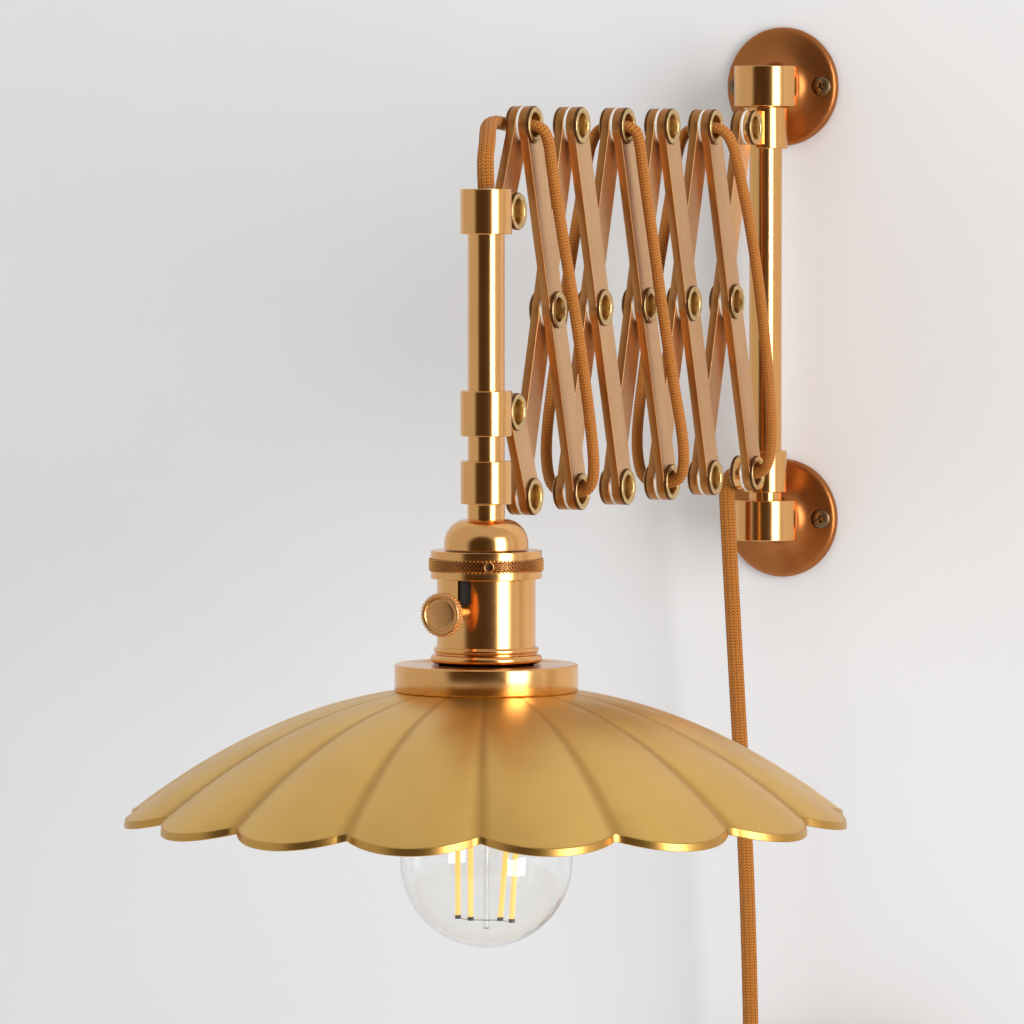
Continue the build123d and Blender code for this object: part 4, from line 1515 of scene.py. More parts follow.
# ---- Wall side ----
@dataclass
class WallMount:
    """Two roses with their screws, two sockets and the upright rod."""

    layout: Layout
    rose_profile: tuple = ((30.0, 0.0), (30.0, 2.0), (28.6, 3.7), (24.0, 5.1), (20.0, 6.2), (15.6, 7.9),
                           (12.6, 10.3), (11.2, 13.5))
    socket_radius: float = 16.0
    socket_height: float = 20.3
    socket_depth: float = 15.5
    rod_radius: float = 8.25
    spigot_radius: float = 8.0
    screw_spread: float = 23.0
    head_radius: float = 4.85
    screw_turns: tuple = (24.0, 61.0, 8.0, 40.0)
    shank_radius: float = 2.1
    thread_radius: float = 2.75
    thread_pitch: float = 2.4
    recess: Triple = (5.4, 1.15, 3.6)

    def rose(self, height: float) -> Body:
        """Domed rose with a trumpet neck.

        Args:
            height: height of its middle.

        Returns:
            The mesh in place.
        """
        outline = rounded([(0.0, 0.0), *self.rose_profile[:2]], 0.3, False)
        outline += smooth_run(list(self.rose_profile[1:]), 6)[1:]
        outline.append((0.0, self.rose_profile[-1][1]))
        pockets = [moved(spun(barrel_profile(self.head_radius + 0.2, 4.4, 30.0), 48, False),
                         at(side * self.screw_spread, 0, 0)) for side in (-1, 1)]
        made = cut(spun(outline, 128, False), *pockets)
        flat_where_plain(made, 34)
        return moved(made, at(0, 0, height) @ TOWARD_ROOM)

    def socket(self, height: float, mouth: int) -> Body:
        """Short thick socket with a blind bore and the spigot that enters the rose.

        Args:
            height: height of its middle.
            mouth: 1 where it opens upward, else -1.

        Returns:
            The mesh in place.
        """
        half = self.socket_height / 2
        floor = mouth * (half - self.socket_depth)
        outline = [(0.0, -mouth * half), (self.socket_radius, -mouth * half),
                   (self.socket_radius, mouth * half), (self.rod_radius + 0.15, mouth * half),
                   (self.rod_radius + 0.15, floor), (0.0, floor)]
        body = solid(outline, 0.45, 128)
        spigot = moved(solid(barrel_profile(self.spigot_radius, -21.0, -9.0), 0.5, 48), TOWARD_ROOM)
        return moved(together(body, spigot), at(0, -self.layout.rod_standoff, height))

    def screw(self) -> Body:
        """Oval-head screw with a cross recess, its shank behind the wall's face.

        Returns:
            The screw on Z, its head up.
        """
        dome = smooth_run([(self.head_radius, 5.5), (4.6, 6.1), (3.4, 6.75), (1.5, 7.2), (0.0, 7.3)], 3)
        outline = [(0.0, -28.0), (0.4, -27.5), (self.shank_radius, -22.0), (self.shank_radius, 2.4),
                   (self.head_radius, 5.2), *dome]
        blank = spun(outline, 48, False)
        knives = []
        for turn in (0, 90):
            knife = box(self.recess, at(0, 0, 7.1))
            for vertex in knife.verts:
                if vertex.co.z < 6.5:
                    vertex.co.x *= 0.35
            knives.append(moved(knife, turned(turn, "Z")))
        made = cut(blank, *knives)
        flat_where_plain(made, 40)
        thread = ThreadCutter(self.shank_radius, self.thread_radius, self.thread_pitch, -26.0, -3.0).mesh()
        return together(made, thread)

    def build(self, shop: Workshop) -> None:
        """Makes the wall side.

        Args:
            shop: the workshop.
        """
        z = self.layout.rose_z
        for name, level in (("upper", z), ("lower", -z)):
            shop.piece(f"rose_{name}", self.rose(level), f"{name}_rose", "wall_mount", "wall_roses")
        sockets = together(self.socket(z, -1), self.socket(-z, 1))
        shop.piece("sockets_of_rod", sockets, "rod", "wall_mount", "rod_sockets")
        reach = z - self.socket_height / 2 + self.socket_depth - 0.2
        rod = moved(solid(barrel_profile(self.rod_radius, -reach, reach), 0.5, 96),
                    at(0, -self.layout.rod_standoff, 0))
        shop.piece("rod_upright", rod, "rod", "wall_mount", "wall_rod")
        places = []
        spots = [(side, level) for level in (z, -z) for side in (1, -1)]
        for (side, level), turn in zip(spots, self.screw_turns):
            rotation = (TOWARD_ROOM @ turned(turn, "Z")).to_euler()
            places.append((Vector((side * self.screw_spread, 0, level)), tuple(rotation)))
        shop.repeated("screws_of_roses", self.screw(), places, "bronze", "wall_mount", "wall_screws")


@dataclass
class ThreadCutter:
    """A raised screw thread round a core."""

    core: float
    crest: float
    pitch: float
    low: float
    high: float
    segments: int = 24
    rows: int = 6

    def mesh(self) -> Body:
        """Spins the thread as one closed wavy skin.

        Returns:
            The thread on Z.
        """
        mesh = bmesh.new()
        count = max(2, int((self.high - self.low) / self.pitch * self.rows))
        rings = []
        for row in range(count + 1):
            level = self.low + (self.high - self.low) * row / count
            ring = []
            for step in range(self.segments):
                turn = tau * step / self.segments
                wave = 0.5 + 0.5 * cos(tau * level / self.pitch - turn)
                radius = self.core + (self.crest - self.core) * wave ** 2 * min(1.0, 0.5 * (count - row),
                                                                               0.5 * row)
                ring.append(mesh.verts.new((radius * cos(turn), radius * sin(turn), level)))
            rings.append(ring)
        mesh.faces.new(rings[0])
        mesh.faces.new(rings[-1])
        return skinned(mesh, rings, False)


# ---- Scissor arm ----
@dataclass
class ScissorArm:
    """Crossing flat links, hollow rivets, white washers and the four sliding collars."""

    layout: Layout
    bar_half: float = 7.9
    head: float = 8.75
    fillet: float = 12.0
    thickness: float = 4.2
    wall_ear: float = 2.8
    bevel: float = 0.3
    eyelet_radius: float = 5.7
    eyelet_bore: float = 5.2
    mouth: float = 5.85
    flange: float = 8.45
    flange_height: float = 1.6
    washer_radius: float = 8.6
    collar_height: float = 21.0
    ear: float = 8.5
    rod_bore: float = 8.3
    tube_bore: float = 8.55
    wall_collar: float = 11.0
    front_collar: float = 11.9

    def half_outline(self, eyes: tuple[float, ...]) -> Profile:
        """Upper half of a link's outline, from behind its first eye to past its last.

        Args:
            eyes: places of the eyes along the link.

        Returns:
            Points from the start to the end, all with v at or above 0.
        """
        reach = sqrt((self.head + self.fillet) ** 2 - (self.bar_half + self.fillet) ** 2)
        lean = atan2(self.bar_half + self.fillet, reach)
        made = []
        for number, eye in enumerate(eyes):
            first, last = number == 0, number == len(eyes) - 1
            start = pi if first else pi - lean
            end = 0.0 if last else lean
            if not first:
                made += self.fillet_arc(eye, reach, lean, -1)
            steps = 14
            for step in range(steps + 1):
                turn = start + (end - start) * step / steps
                made.append((eye + self.head * cos(turn), self.head * sin(turn)))
            if not last:
                made += self.fillet_arc(eye, reach, lean, 1)
        return made

    def fillet_arc(self, eye: float, reach: float, lean: float, side: int) -> Profile:
        """Neck between a round head and the bar.

        Args:
            eye: place of the eye.
            reach: from the eye to the fillet's centre.
            lean: angle at which head and fillet meet.
            side: 1 past the eye, -1 before it.

        Returns:
            The neck's points.
        """
        centre = (eye + side * reach, self.bar_half + self.fillet)
        made = []
        for step in range(1, 4):
            turn = -pi / 2 + side * (lean - pi / 2) * (1 - step / 3)
            made.append((centre[0] + self.fillet * cos(turn), centre[1] + self.fillet * sin(turn)))
        return made if side == 1 else made[::-1]

    def plate(self, outline: Profile, holes: list[Triple],
              thickness: float, steps: int = 40) -> Body:
        """Flat plate with round holes and softened rims, in its own plane from 0 to its thickness.

        Args:
            outline: the plate's edge.
            holes: (u, v, radius) of each hole.
            thickness: how thick it is.
            steps: corners of each hole.

        Returns:
            The plate, with its own place as its UV map.
        """
        mesh = bmesh.new()
        loops = [outline]
        for u, v, radius in holes:
            turns = [tau * step / steps for step in range(steps)]
            loops.append([(u + radius * cos(t), v + radius * sin(t)) for t in turns])
        for loop in loops:
            corners = [mesh.verts.new((u, v, 0.0)) for u, v in loop]
            for first, second in zip(corners, corners[1:] + corners[:1]):
                mesh.edges.new((first, second))
        bmesh.ops.triangle_fill(mesh, use_beauty=True, use_dissolve=False, edges=mesh.edges[:])
        grown = bmesh.ops.extrude_face_region(mesh, geom=mesh.faces[:])
        for item in grown["geom"]:
            if isinstance(item, bmesh.types.BMVert):
                item.co.z += thickness
        bmesh.ops.recalc_face_normals(mesh, faces=mesh.faces)
        rims = [edge for edge in mesh.edges if len(edge.link_faces) == 2
                and edge.calc_face_angle(0.0) > radians(60)]
        bmesh.ops.bevel(mesh, geom=rims, offset=self.bevel, segments=2, profile=0.5, affect="EDGES")
        layer = mesh.loops.layers.uv.new("UVMap")
        for face in mesh.faces:
            plain = abs(face.normal.z) > 0.99
            face.smooth = not plain
            # faces that are not flat take the second material: on a link, the darker edge finish, which is
            # painted shade
            face.material_index = 0 if abs(face.normal.z) > 0.5 else 1
            for loop in face.loops:
                loop[layer].uv = (MM * loop.vert.co.x, MM * loop.vert.co.y)
        return mesh

    def link(self, start: Vector, end: Vector, eyes: tuple[float, ...], side: Side) -> Body:
        """One link in its layer.

        Args:
            start: its first pivot.
            end: its last pivot.
            eyes: its eyes along its length.
            side: its layer.

        Returns:
            The link's mesh in place.
        """
        upper = self.half_outline(eyes)
        lower = [(u, -v) for u, v in upper[::-1] if v > POLE]
        holes = [(eye, 0.0, self.eyelet_radius + 0.03) for eye in eyes]
        plate = self.plate([*upper, *lower], holes, self.thickness)
        along = (end - start).normalized()
        out = Vector((1, 0, 0))
        own = Matrix((along, out.cross(along), out)).transposed().to_4x4()
        return moved(plate, Matrix.Translation(start + out * self.layout.inner(side)) @ own)

    def eyelet(self, seat: float) -> Body:
        """Hollow rivet with a rolled flange at each end that stands off its plate, lying along X.

        Args:
            seat: how far out its near end sits.

        Returns:
            The rivet's mesh about the pivot.
        """
        roll = [(self.eyelet_radius + 0.5, 0.1), (self.flange - 1.5, 0.6), (self.flange - 0.35, 0.85),
                (self.flange, 1.1), (self.flange - 0.3, 1.42), (self.flange - 1.1, self.flange_height),
                (self.mouth + 0.6, 1.4), (self.mouth, 0.9), (self.mouth - 0.25, 0.0)]
        roll = smooth_run(roll, 4)
        far_seat = self.layout.outer_x
        near = [(radius, seat + rise) for radius, rise in roll]
        far = [(radius, -far_seat - rise) for radius, rise in roll]
        outline = [(self.eyelet_radius, 0.0), (self.eyelet_radius, seat), *near,
                   (self.eyelet_bore, seat - 1.8), (self.eyelet_bore, 1.8 - far_seat), *far[::-1],
                   (self.eyelet_radius, -far_seat)]
        return moved(spun(outline, 56), ALONG_X)

    def washer(self) -> Body:
        """Thin white washer between the layers, lying along X.

        Returns:
            The washer about the pivot.
        """
        gap = self.layout.inner_x - 0.02
        return moved(ring_of(pipe_profile(self.washer_radius, self.eyelet_radius + 0.1, -gap, gap), 0.25, 56),
                     ALONG_X)

    def collar(self, pivot: Vector, axis_y: float, radius: float, bore: float, side: Side,
               thickness: float) -> Body:
        """Round collar with a flat ear for one pivot.

        Args:
            pivot: the pivot in the ear.
            axis_y: Y of the rod or tube that the collar is on.
            radius: its outside radius.
            bore: its bore's radius.
            side: layer of its ear.
            thickness: of its ear.

        Returns:
            The collar's mesh in place.
        """
        half = self.collar_height / 2
        body = moved(ring_of(pipe_profile(radius, bore, -half, half), 0.5, 112), at(0, axis_y, pivot.z))
        arm = abs(axis_y - pivot.y) - (radius + bore) / 2 + 0.2
        toward = copysign(1.0, axis_y - pivot.y)
        outline = []
        for step in range(29):
            turn = pi / 2 + pi * step / 28
            outline.append((self.ear * cos(turn), self.ear * sin(turn)))
        outline += [(arm, -self.ear), (arm, self.ear)]
        ear = self.plate(outline, [(0.0, 0.0, self.eyelet_radius + 0.03)], thickness)
        own = Matrix(((0, toward, 0), (0, 0, toward), (1, 0, 0))).transposed().to_4x4()
        ear = moved(ear, Matrix.Translation(pivot + Vector((self.layout.inner(side), 0, 0))) @ own)
        for face in ear.faces:
            face.material_index = 0
        return together(body, ear)

    def build(self, shop: Workshop) -> None:
        """Makes the arm.

        Args:
            shop: the workshop.
        """
        lay = self.layout
        long_eyes = (0.0, lay.link_length / 2, lay.link_length)
        short_eyes = (0.0, lay.short_length)
        near = {0: (lay.front_lower(), lay.lower(0), short_eyes)}
        far = {0: (lay.upper(0), lay.front_upper(), short_eyes)}
        pivots = {0: [lay.front_lower(), lay.lower(0)]}
        for pair in range(1, lay.pairs + 1):
            near[pair] = (lay.upper(pair - 1), lay.lower(pair), long_eyes)
            far[pair] = (lay.upper(pair), lay.lower(pair - 1), long_eyes)
            pivots[pair] = [lay.upper(pair - 1), lay.middle(pair), lay.lower(pair)]
        for layer, links, side in (("near", near, Side.NEAR), ("far", far, Side.FAR)):
            for number, (start, end, eyes) in links.items():
                self.dress_link(shop, f"link_{layer}_{number}", self.link(start, end, eyes, side),
                                f"{layer}_{number}", f"{layer}_link_{number}")
        for number, spots in pivots.items():
            self.fasteners(shop, number, spots, f"near_{number}", f"near_eyelets_{number}")
        self.fasteners(shop, 6, [lay.upper(lay.pairs)], "upper_wall_slide", "upper_wall_eyelet",
                       lay.inner_x + self.wall_ear)
        self.fasteners(shop, 7, [lay.front_upper()], "front_upper_slide", "front_upper_eyelet")
        self.collars(shop)

    def dress_link(self, shop: Workshop, name: str, mesh: Body, body: str,
                   node: str) -> None:
        """Makes one link with its face finish and, on its edges, a darker copy of it as painted shade.

        Args:
            shop: the workshop.
            name: the piece's name.
            mesh: its shape.
            body: body that it rides on.
            node: CAD node that it replaces.
        """
        made = loose_object(name, mesh)
        made.data.materials.append(shop.finishes.materials["link"])
        made.data.materials.append(shop.finishes.materials["edge"])
        shop.dress(made, "link", body, node)

    def fasteners(self, shop: Workshop, number: int, spots: list[Vector], body: str, node: str,
                  seat: float | None = None) -> None:
        """Makes the rivets and washers of one body, and dark rings at each rivet's seat as painted shadow.

        Args:
            shop: the workshop.
            number: which set this is.
            spots: the pivots.
            body: body that they ride on.
            node: CAD node of the rivets.
            seat: how far out their near ends sit, or None on a plate.
        """
        turns = [(0.37 * index + 0.5 * number, 0.0, 0.0) for index in range(len(spots))]
        places = list(zip(spots, turns))
        low = self.layout.outer_x if seat is None else seat
        shop.repeated(f"rivets_{number}", self.eyelet(low), places, "eyelet", body, node)
        shop.repeated(f"washers_{number}", self.washer(), places, "washer", body)
        # dark rings round each flange's seat, near side and far: painted shadow of the gap under the flange
        shadows = [ring_of(pipe_profile(self.flange + 0.3, self.flange - 1.6, start, end), 0.12, 40)
                   for start, end in ((low - 0.3, low + 0.8),
                                      (-self.layout.outer_x - 0.8, 0.3 - self.layout.outer_x))]
        shop.repeated(f"seats_{number}", moved(together(*shadows), ALONG_X), places, "shadow", body)

    def collars(self, shop: Workshop) -> None:
        """Makes the two collars on the rod and the two on the tube.

        Args:
            shop: the workshop.
        """
        lay = self.layout
        rod = (-lay.rod_standoff, self.wall_collar, self.rod_bore)
        tube = (lay.tube_y(), self.front_collar, self.tube_bore)
        rows = (("rod_upper", "upper_wall", lay.upper(lay.pairs), rod, Side.NEAR, "rod"),
                ("rod_lower", "lower_wall", lay.lower(lay.pairs), rod, Side.FAR, "rod"),
                ("tube_upper", "front_upper", lay.front_upper(), tube, Side.NEAR, "lamp"),
                ("tube_lower", "front_lower", lay.front_lower(), tube, Side.FAR, "lamp"))
        for name, place, pivot, (axis_y, radius, bore), side, finish in rows:
            ear = self.wall_ear if place == "upper_wall" else self.thickness
            shop.piece(f"collar_{name}", self.collar(pivot, axis_y, radius, bore, side, ear), finish,
                       f"{place}_slide", f"{place}_collar")


# ---- Lampholder, switch, shade and bulb ----
@dataclass
class Lampholder:
    """Front tube, coupler, cap, knurled ring, barrel and gallery, all on the tube's axis."""

    layout: Layout
    tube_radius: float = 8.5
    tube_wall: float = 1.2
    coupler_radius: float = 11.8
    coupler_top: float = -66.67
    neck_radius: float = 8.65
    neck_top: float = -86.57
    cap_radius: float = 19.5
    cap_top: float = -93.67
    cap_edge: float = 11.4
    ring_radius: float = 25.75
    ring_top: float = -108.07
    ring_band: float = 3.2
    knurl_radius: float = 26.7
    knurl_band: float = 6.5
    knurl_count: int = 90
    knurl_rows: int = 6
    knurl_depth: float = 0.9
    grub_radius: float = 1.72
    grub_bore: float = 1.85
    grub_rim: float = 2.35
    barrel_radius: float = 22.85
    barrel_top: float = -120.97
    barrel_height: float = 31.4
    beads: tuple = ((24.2, 3.2), (25.7, 5.0))
    slot_width: float = 6.8
    slot_height: float = 12.0
    gallery_radius: float = 42.5
    gallery_top: float = -160.57
    gallery_height: float = 12.8
    gallery_edge: float = 1.1
    holder_radius: float = 19.6
    knob_drop: float = -135.37
    knob_azimuth: float = -2.0
    grub_azimuth: float = 27.0

    def on_axis(self, mesh: Body) -> Body:
        """Moves a mesh from Z onto the tube's axis."""
        return moved(mesh, at(0, self.layout.tube_y(), 0))

    def add(self, shop: Workshop, name: str, mesh: Body, finish: str, *nodes: str) -> None:
        """Makes a piece of the lamp head from a mesh on Z."""
        shop.piece(name, self.on_axis(mesh), finish, "lamp_head", *nodes)

    def toward_switch(self, mesh: Body) -> Body:
        """Lays a mesh that stands on Z along the switch's axis."""
        return self.on_axis(moved(mesh, at(0, 0, self.knob_drop) @ turned(self.knob_azimuth, "Z")
                                  @ TOWARD_ROOM))

    def cap(self) -> Body:
        """Domed cap.

        Returns:
            The mesh in place.
        """
        inner = self.neck_radius + 0.2
        dome = []
        for step in range(15):
            turn = pi / 2 * step / 14
            dome.append((inner + (self.cap_radius - inner) * sin(turn),
                         self.cap_top - self.cap_edge * (1 - cos(turn))))
        edge = rounded([dome[-1], (self.cap_radius, self.ring_top + 0.4), (0.0, self.ring_top + 0.4)],
                       0.3, False)
        return self.on_axis(spun([(0.0, self.cap_top), *dome, *edge[1:]], 128, False))

    def ring(self, shop: Workshop) -> Body:
        """Clamping ring with two plain bands and a diamond-knurled one, drilled for its screw.

        Args:
            shop: the workshop.

        Returns:
            The ring without its knurl.
        """
        wide, low = self.ring_top - self.ring_band, self.ring_top - self.ring_band - self.knurl_band
        core, peak = self.knurl_radius - self.knurl_depth, self.knurl_depth
        outline = [(12.0, self.barrel_top), (self.ring_radius, self.barrel_top),
                   (self.ring_radius, low + 0.35), (self.ring_radius - 0.5, low + 0.1), (core, low),
                   (core, wide),
                   (self.ring_radius - 0.5, wide - 0.1), (self.ring_radius, wide - 0.35),
                   (self.ring_radius, self.ring_top), (12.0, self.ring_top)]
        hole = self.grub(solid(barrel_profile(self.grub_bore, self.knurl_radius - 6, self.knurl_radius + 2),
                               0.1, 32))
        body = cut(self.on_axis(ring_of(outline, 0.35, 160)), hole)
        flat_where_plain(body, 34)
        height = (self.knurl_band - 0.1) / 3.5
        half = pi * self.knurl_radius / self.knurl_count
        diamond = bmesh.new()
        corners = [diamond.verts.new(place) for place in
                   ((-0.05, half, 0), (-0.05, 0, height / 2), (-0.05, -half, 0), (-0.05, 0, -height / 2))]
        peaks = [diamond.verts.new(place) for place in
                 ((peak, 0.16 * half, 0), (peak, 0, 0.08 * height), (peak, -0.16 * half, 0),
                  (peak, 0, -0.08 * height))]
        diamond.faces.new(peaks)
        diamond.faces.new(corners[::-1])
        skinned(diamond, [corners, peaks], False, False)
        knurls = shop.banded(diamond, self.knurl_count, self.knurl_rows, core, height / 2,
                             low + height / 2 + 0.05, "lamp")
        knurls = self.on_axis(knurls)
        screw = self.grub_matrix() @ Vector((0, 0, self.knurl_radius))
        near = [v for v in knurls.verts if (v.co - screw).length < self.grub_rim]
        bmesh.ops.delete(knurls, geom=near, context="VERTS")
        rim = self.grub(ring_of(pipe_profile(self.grub_rim, self.grub_bore - 0.05, self.knurl_radius - 1,
                                             self.knurl_radius + 0.1), 0.2, 32))
        shop.piece("ring_knurls", knurls, "knurl", "lamp_head")
        return together(body, rim)

    def grub_matrix(self) -> Matrix:
        """Place of the ring's small screw, from a body that stands on Z."""
        level = self.ring_top - self.ring_band - self.knurl_band / 2
        return at(0, self.layout.tube_y(), level) @ turned(self.grub_azimuth, "Z") @ TOWARD_ROOM

    def grub(self, mesh: Body) -> Body:
        """Turns a body that stands on Z to the small screw's place."""
        return moved(mesh, self.grub_matrix())

    def grub_screw(self) -> Body:
        """Small screw with a slot, sunk in its hole.

        Returns:
            The mesh in place.
        """
        top = self.knurl_radius - 2.8
        blank = solid(barrel_profile(self.grub_radius, self.knurl_radius - 5.9, top), 0.3, 32)
        made = cut(blank, box((4.0, 0.6, 1.4), at(0, 0, top) @ turned(35, "Z")))
        flat_where_plain(made, 40)
        return self.grub(made)

    def barrel(self) -> Body:
        """Barrel with a slot below the ring, a bore for the switch shaft and two foot beads.

        Returns:
            The mesh in place.
        """
        foot = self.barrel_top - self.barrel_height
        inner = self.barrel_radius - 1.3
        side = rounded([(inner, self.barrel_top), (self.barrel_radius, self.barrel_top),
                        (self.barrel_radius, foot)], 0.3, False)
        level = foot
        for radius, height in self.beads:
            swell = radius - self.barrel_radius
            for step in range(9):
                turn = pi * step / 8
                side.append((self.barrel_radius + 0.15 + swell * sin(turn) ** 0.7,
                             level - height * (0.06 + 0.88 * (1 - cos(turn)) / 2)))
            level -= height
        outline = [*side, (inner, level), (inner, self.barrel_top)]
        body = self.on_axis(spun(outline[:-1], 160))
        slot = box((self.slot_width, 2 * self.slot_height, 12), at(0, 0, self.barrel_radius))
        upright = [edge for edge in slot.edges if abs((edge.verts[0].co - edge.verts[1].co).z) > 1]
        bmesh.ops.bevel(slot, geom=upright, offset=1.2, segments=4, affect="EDGES")
        lift = at(0, self.layout.tube_y(), self.barrel_top)
        slot = moved(slot, lift @ turned(self.knob_azimuth, "Z") @ TOWARD_ROOM)
        bore = self.toward_switch(spun(barrel_profile(3.5, 15.0, self.barrel_radius + 3.0), 40, False))
        made = cut(body, slot, bore)
        flat_where_plain(made, 34)
        return made

    def gallery(self) -> Body:
        """Round gallery with a rolled upper edge.

        Returns:
            The mesh in place.
        """
        low = self.gallery_top - self.gallery_height
        turns = [pi / 2 * step / 8 for step in range(9)]
        soft = self.gallery_edge
        top = self.gallery_radius - soft
        edge = [(top + soft * sin(t), self.gallery_top - soft * (1 - cos(t))) for t in turns]
        outline = [(self.holder_radius + 0.1, self.gallery_top), (top - 0.6, self.gallery_top), *edge,
                   (self.gallery_radius, self.gallery_top - soft - 0.5), (self.gallery_radius, low + 0.8),
                   (self.gallery_radius - 0.3, low + 0.2), (self.gallery_radius - 1.0, low),
                   (self.holder_radius + 0.1, low)]
        return self.on_axis(spun(outline, 160))

    def build(self, shop: Workshop) -> None:
        """Makes the lampholder.

        Args:
            shop: the workshop.
        """
        low = self.coupler_top - 6.0
        tube = pipe_profile(self.tube_radius, self.tube_radius - self.tube_wall, low, self.layout.tube_top)
        self.add(shop, "tube_upright", ring_of(tube, 0.45, 112), "lamp", "front_tube")
        coupler = [(0.0, self.coupler_top), (self.coupler_radius, self.coupler_top),
                   (self.coupler_radius, self.neck_top), (self.neck_radius, self.neck_top),
                   (self.neck_radius, self.cap_top - 0.4), (0.0, self.cap_top - 0.4)]
        self.add(shop, "coupler_turned", solid(coupler, 0.5, 112), "lamp", "tube_coupler")
        shop.piece("cap_domed", self.cap(), "lamp", "lamp_head", "holder_cap")
        shop.piece("ring_knurled", self.ring(shop), "lamp", "lamp_head", "knurled_ring")
        shop.piece("screw_of_ring", self.grub_screw(), "bronze", "lamp_head", "ring_grub_screw")
        shop.piece("barrel_beaded", self.barrel(), "lamp", "lamp_head", "holder_barrel")
        liner = solid(barrel_profile(self.barrel_radius - 1.6, self.gallery_top + 0.5, self.barrel_top - 0.2),
                      0.3, 96)
        self.add(shop, "holder_liner", liner, "black")
        shop.piece("gallery_round", self.gallery(), "lamp", "lamp_head", "shade_gallery")


@dataclass
class SwitchKnob:
    """Round ridged knob on a plain shaft."""

    holder: Lampholder
    radius: float = 10.1
    thickness: float = 5.0
    reach: float = 48.0
    ridges: int = 38
    shaft_radius: float = 3.3
    shaft_start: float = 18.9

    def build(self, shop: Workshop) -> None:
        """Makes the knob and its shaft.

        Args:
            shop: the workshop.
        """
        back = self.reach - self.thickness
        rim = self.radius - 0.55
        face = smooth_run([(rim - 0.25, 4.75), (rim - 0.7, 4.95), (rim - 1.5, 4.9), (rim - 2.0, 4.55),
                           (rim - 2.3, 4.2), (rim - 2.9, 4.2), (rim - 3.6, 4.35), (3.0, 4.5), (0.0, 4.55)], 4)
        outline = [(0.0, 0.0), (rim - 0.8, 0.0), (rim - 0.2, 0.25), (rim, 0.8), (rim, 4.3), *face]
        disc = moved(spun(outline, 114, False), at(0, 0, back))
        rib = bmesh.new()
        bmesh.ops.create_cone(rib, cap_ends=True, segments=8, radius1=0.5, radius2=0.5,
                              depth=self.thickness - 1.5)
        for item in rib.faces:
            item.smooth = abs(item.normal.z) < 0.5
        ridges = shop.banded(rib, self.ridges, 1, rim, 1.0, self.thickness / 2 - 0.05, "knob")
        shaft = solid(barrel_profile(self.shaft_radius, self.shaft_start, back + 0.5), 0.3, 48)
        mesh = together(disc, moved(ridges, at(0, 0, back)), shaft)
        shop.piece("knob_ridged", self.holder.toward_switch(mesh), "knob", "switch", "switch_knob")


@dataclass
class PleatedShade:
    """Thin shade of sixteen convex petals with a rolled hem."""

    holder: Lampholder
    petals: int = 16
    inner: float = 19.8
    top_radius: float = 43.0
    rim_radius: float = 167.7
    fall: float = 57.4
    straight: float = 0.33
    crease_top: float = 2.0
    crease_rim: float = 7.0
    scallop: float = 0.05
    sheet: float = 1.1
    lip: float = 3.4
    turn: float = 12.2

    def rim_point(self, petal: int, share: float) -> Vector:
        """Point of the rim's edge.

        Args:
            petal: number of the petal.
            share: place across the petal, -1 to 1.

        Returns:
            The point, with the shade's top at height 0.
        """
        low = 1 - self.scallop * share * share
        radius, drop = petal_rule(share, low, low, (self.top_radius, self.rim_radius),
                                  (self.fall, self.straight), (self.crease_top, self.crease_rim))
        turn = (petal + share / 2) * tau / self.petals
        return Vector((radius * cos(turn), radius * sin(turn), -drop))

    def hem_mesh(self) -> Body:
        """Rolled hem that follows the scalloped rim.

        Returns:
            The hem, with the shade's top at height 0.
        """
        line = [self.rim_point(petal, -1 + step / 8) for petal in range(self.petals) for step in range(16)]
        mesh = bmesh.new()
        rings = []
        section = rounded([(-1.4, -0.6), (-0.5, 0.45), (0.5, 0.2), (1.0, -self.lip), (-0.8, -self.lip)],
                          0.35, True, 3)
        for here in line:
            out = Vector((here.x, here.y, 0)).normalized()
            rings.append([mesh.verts.new(here + out * u + Vector((0, 0, v))) for u, v in section])
        return skinned(mesh, rings, True)

    def build(self, shop: Workshop) -> None:
        """Makes the shade and its hem.

        Args:
            shop: the workshop.
        """
        level = self.holder.gallery_top - self.holder.gallery_height
        start = loose_object("start", bmesh.new(), 1.0)
        values = {"Petals": self.petals, "Inner radius": MM * self.inner, "Rim radius": MM * self.rim_radius,
                  "Top radius": MM * self.top_radius, "Fall": MM * self.fall,
                  "Straight share": self.straight, "Crease at top": MM * self.crease_top,
                  "Crease at rim": MM * self.crease_rim, "Scallop": self.scallop,
                  "Finish": shop.finishes.materials["shade"]}
        sheet = shape_of(shop.petals.grow(start, values))
        bmesh.ops.remove_doubles(sheet, verts=sheet.verts, dist=0.00002)
        bmesh.ops.recalc_face_normals(sheet, faces=sheet.faces)
        if sum(face.normal.z for face in sheet.faces) < 0:
            bmesh.ops.reverse_faces(sheet, faces=sheet.faces)
        for face in sheet.faces:
            face.smooth = True
        sheet.transform(Matrix.Scale(1 / MM, 4))
        stance = at(0, 0, level) @ turned(self.turn, "Z")
        made = loose_object("shade_pleated", self.holder.on_axis(moved(sheet, stance)))
        made.data.materials.append(shop.finishes.materials["shade"])
        thick = made.modifiers.new("sheet", "SOLIDIFY")
        thick.thickness = MM * self.sheet
        thick.offset = -1.0
        shop.dress(made, "shade", "lamp_head", "shade")
        # the hem's darker finish is painted shade
        self.holder.add(shop, "shade_hem", moved(self.hem_mesh(), stance), "hem")


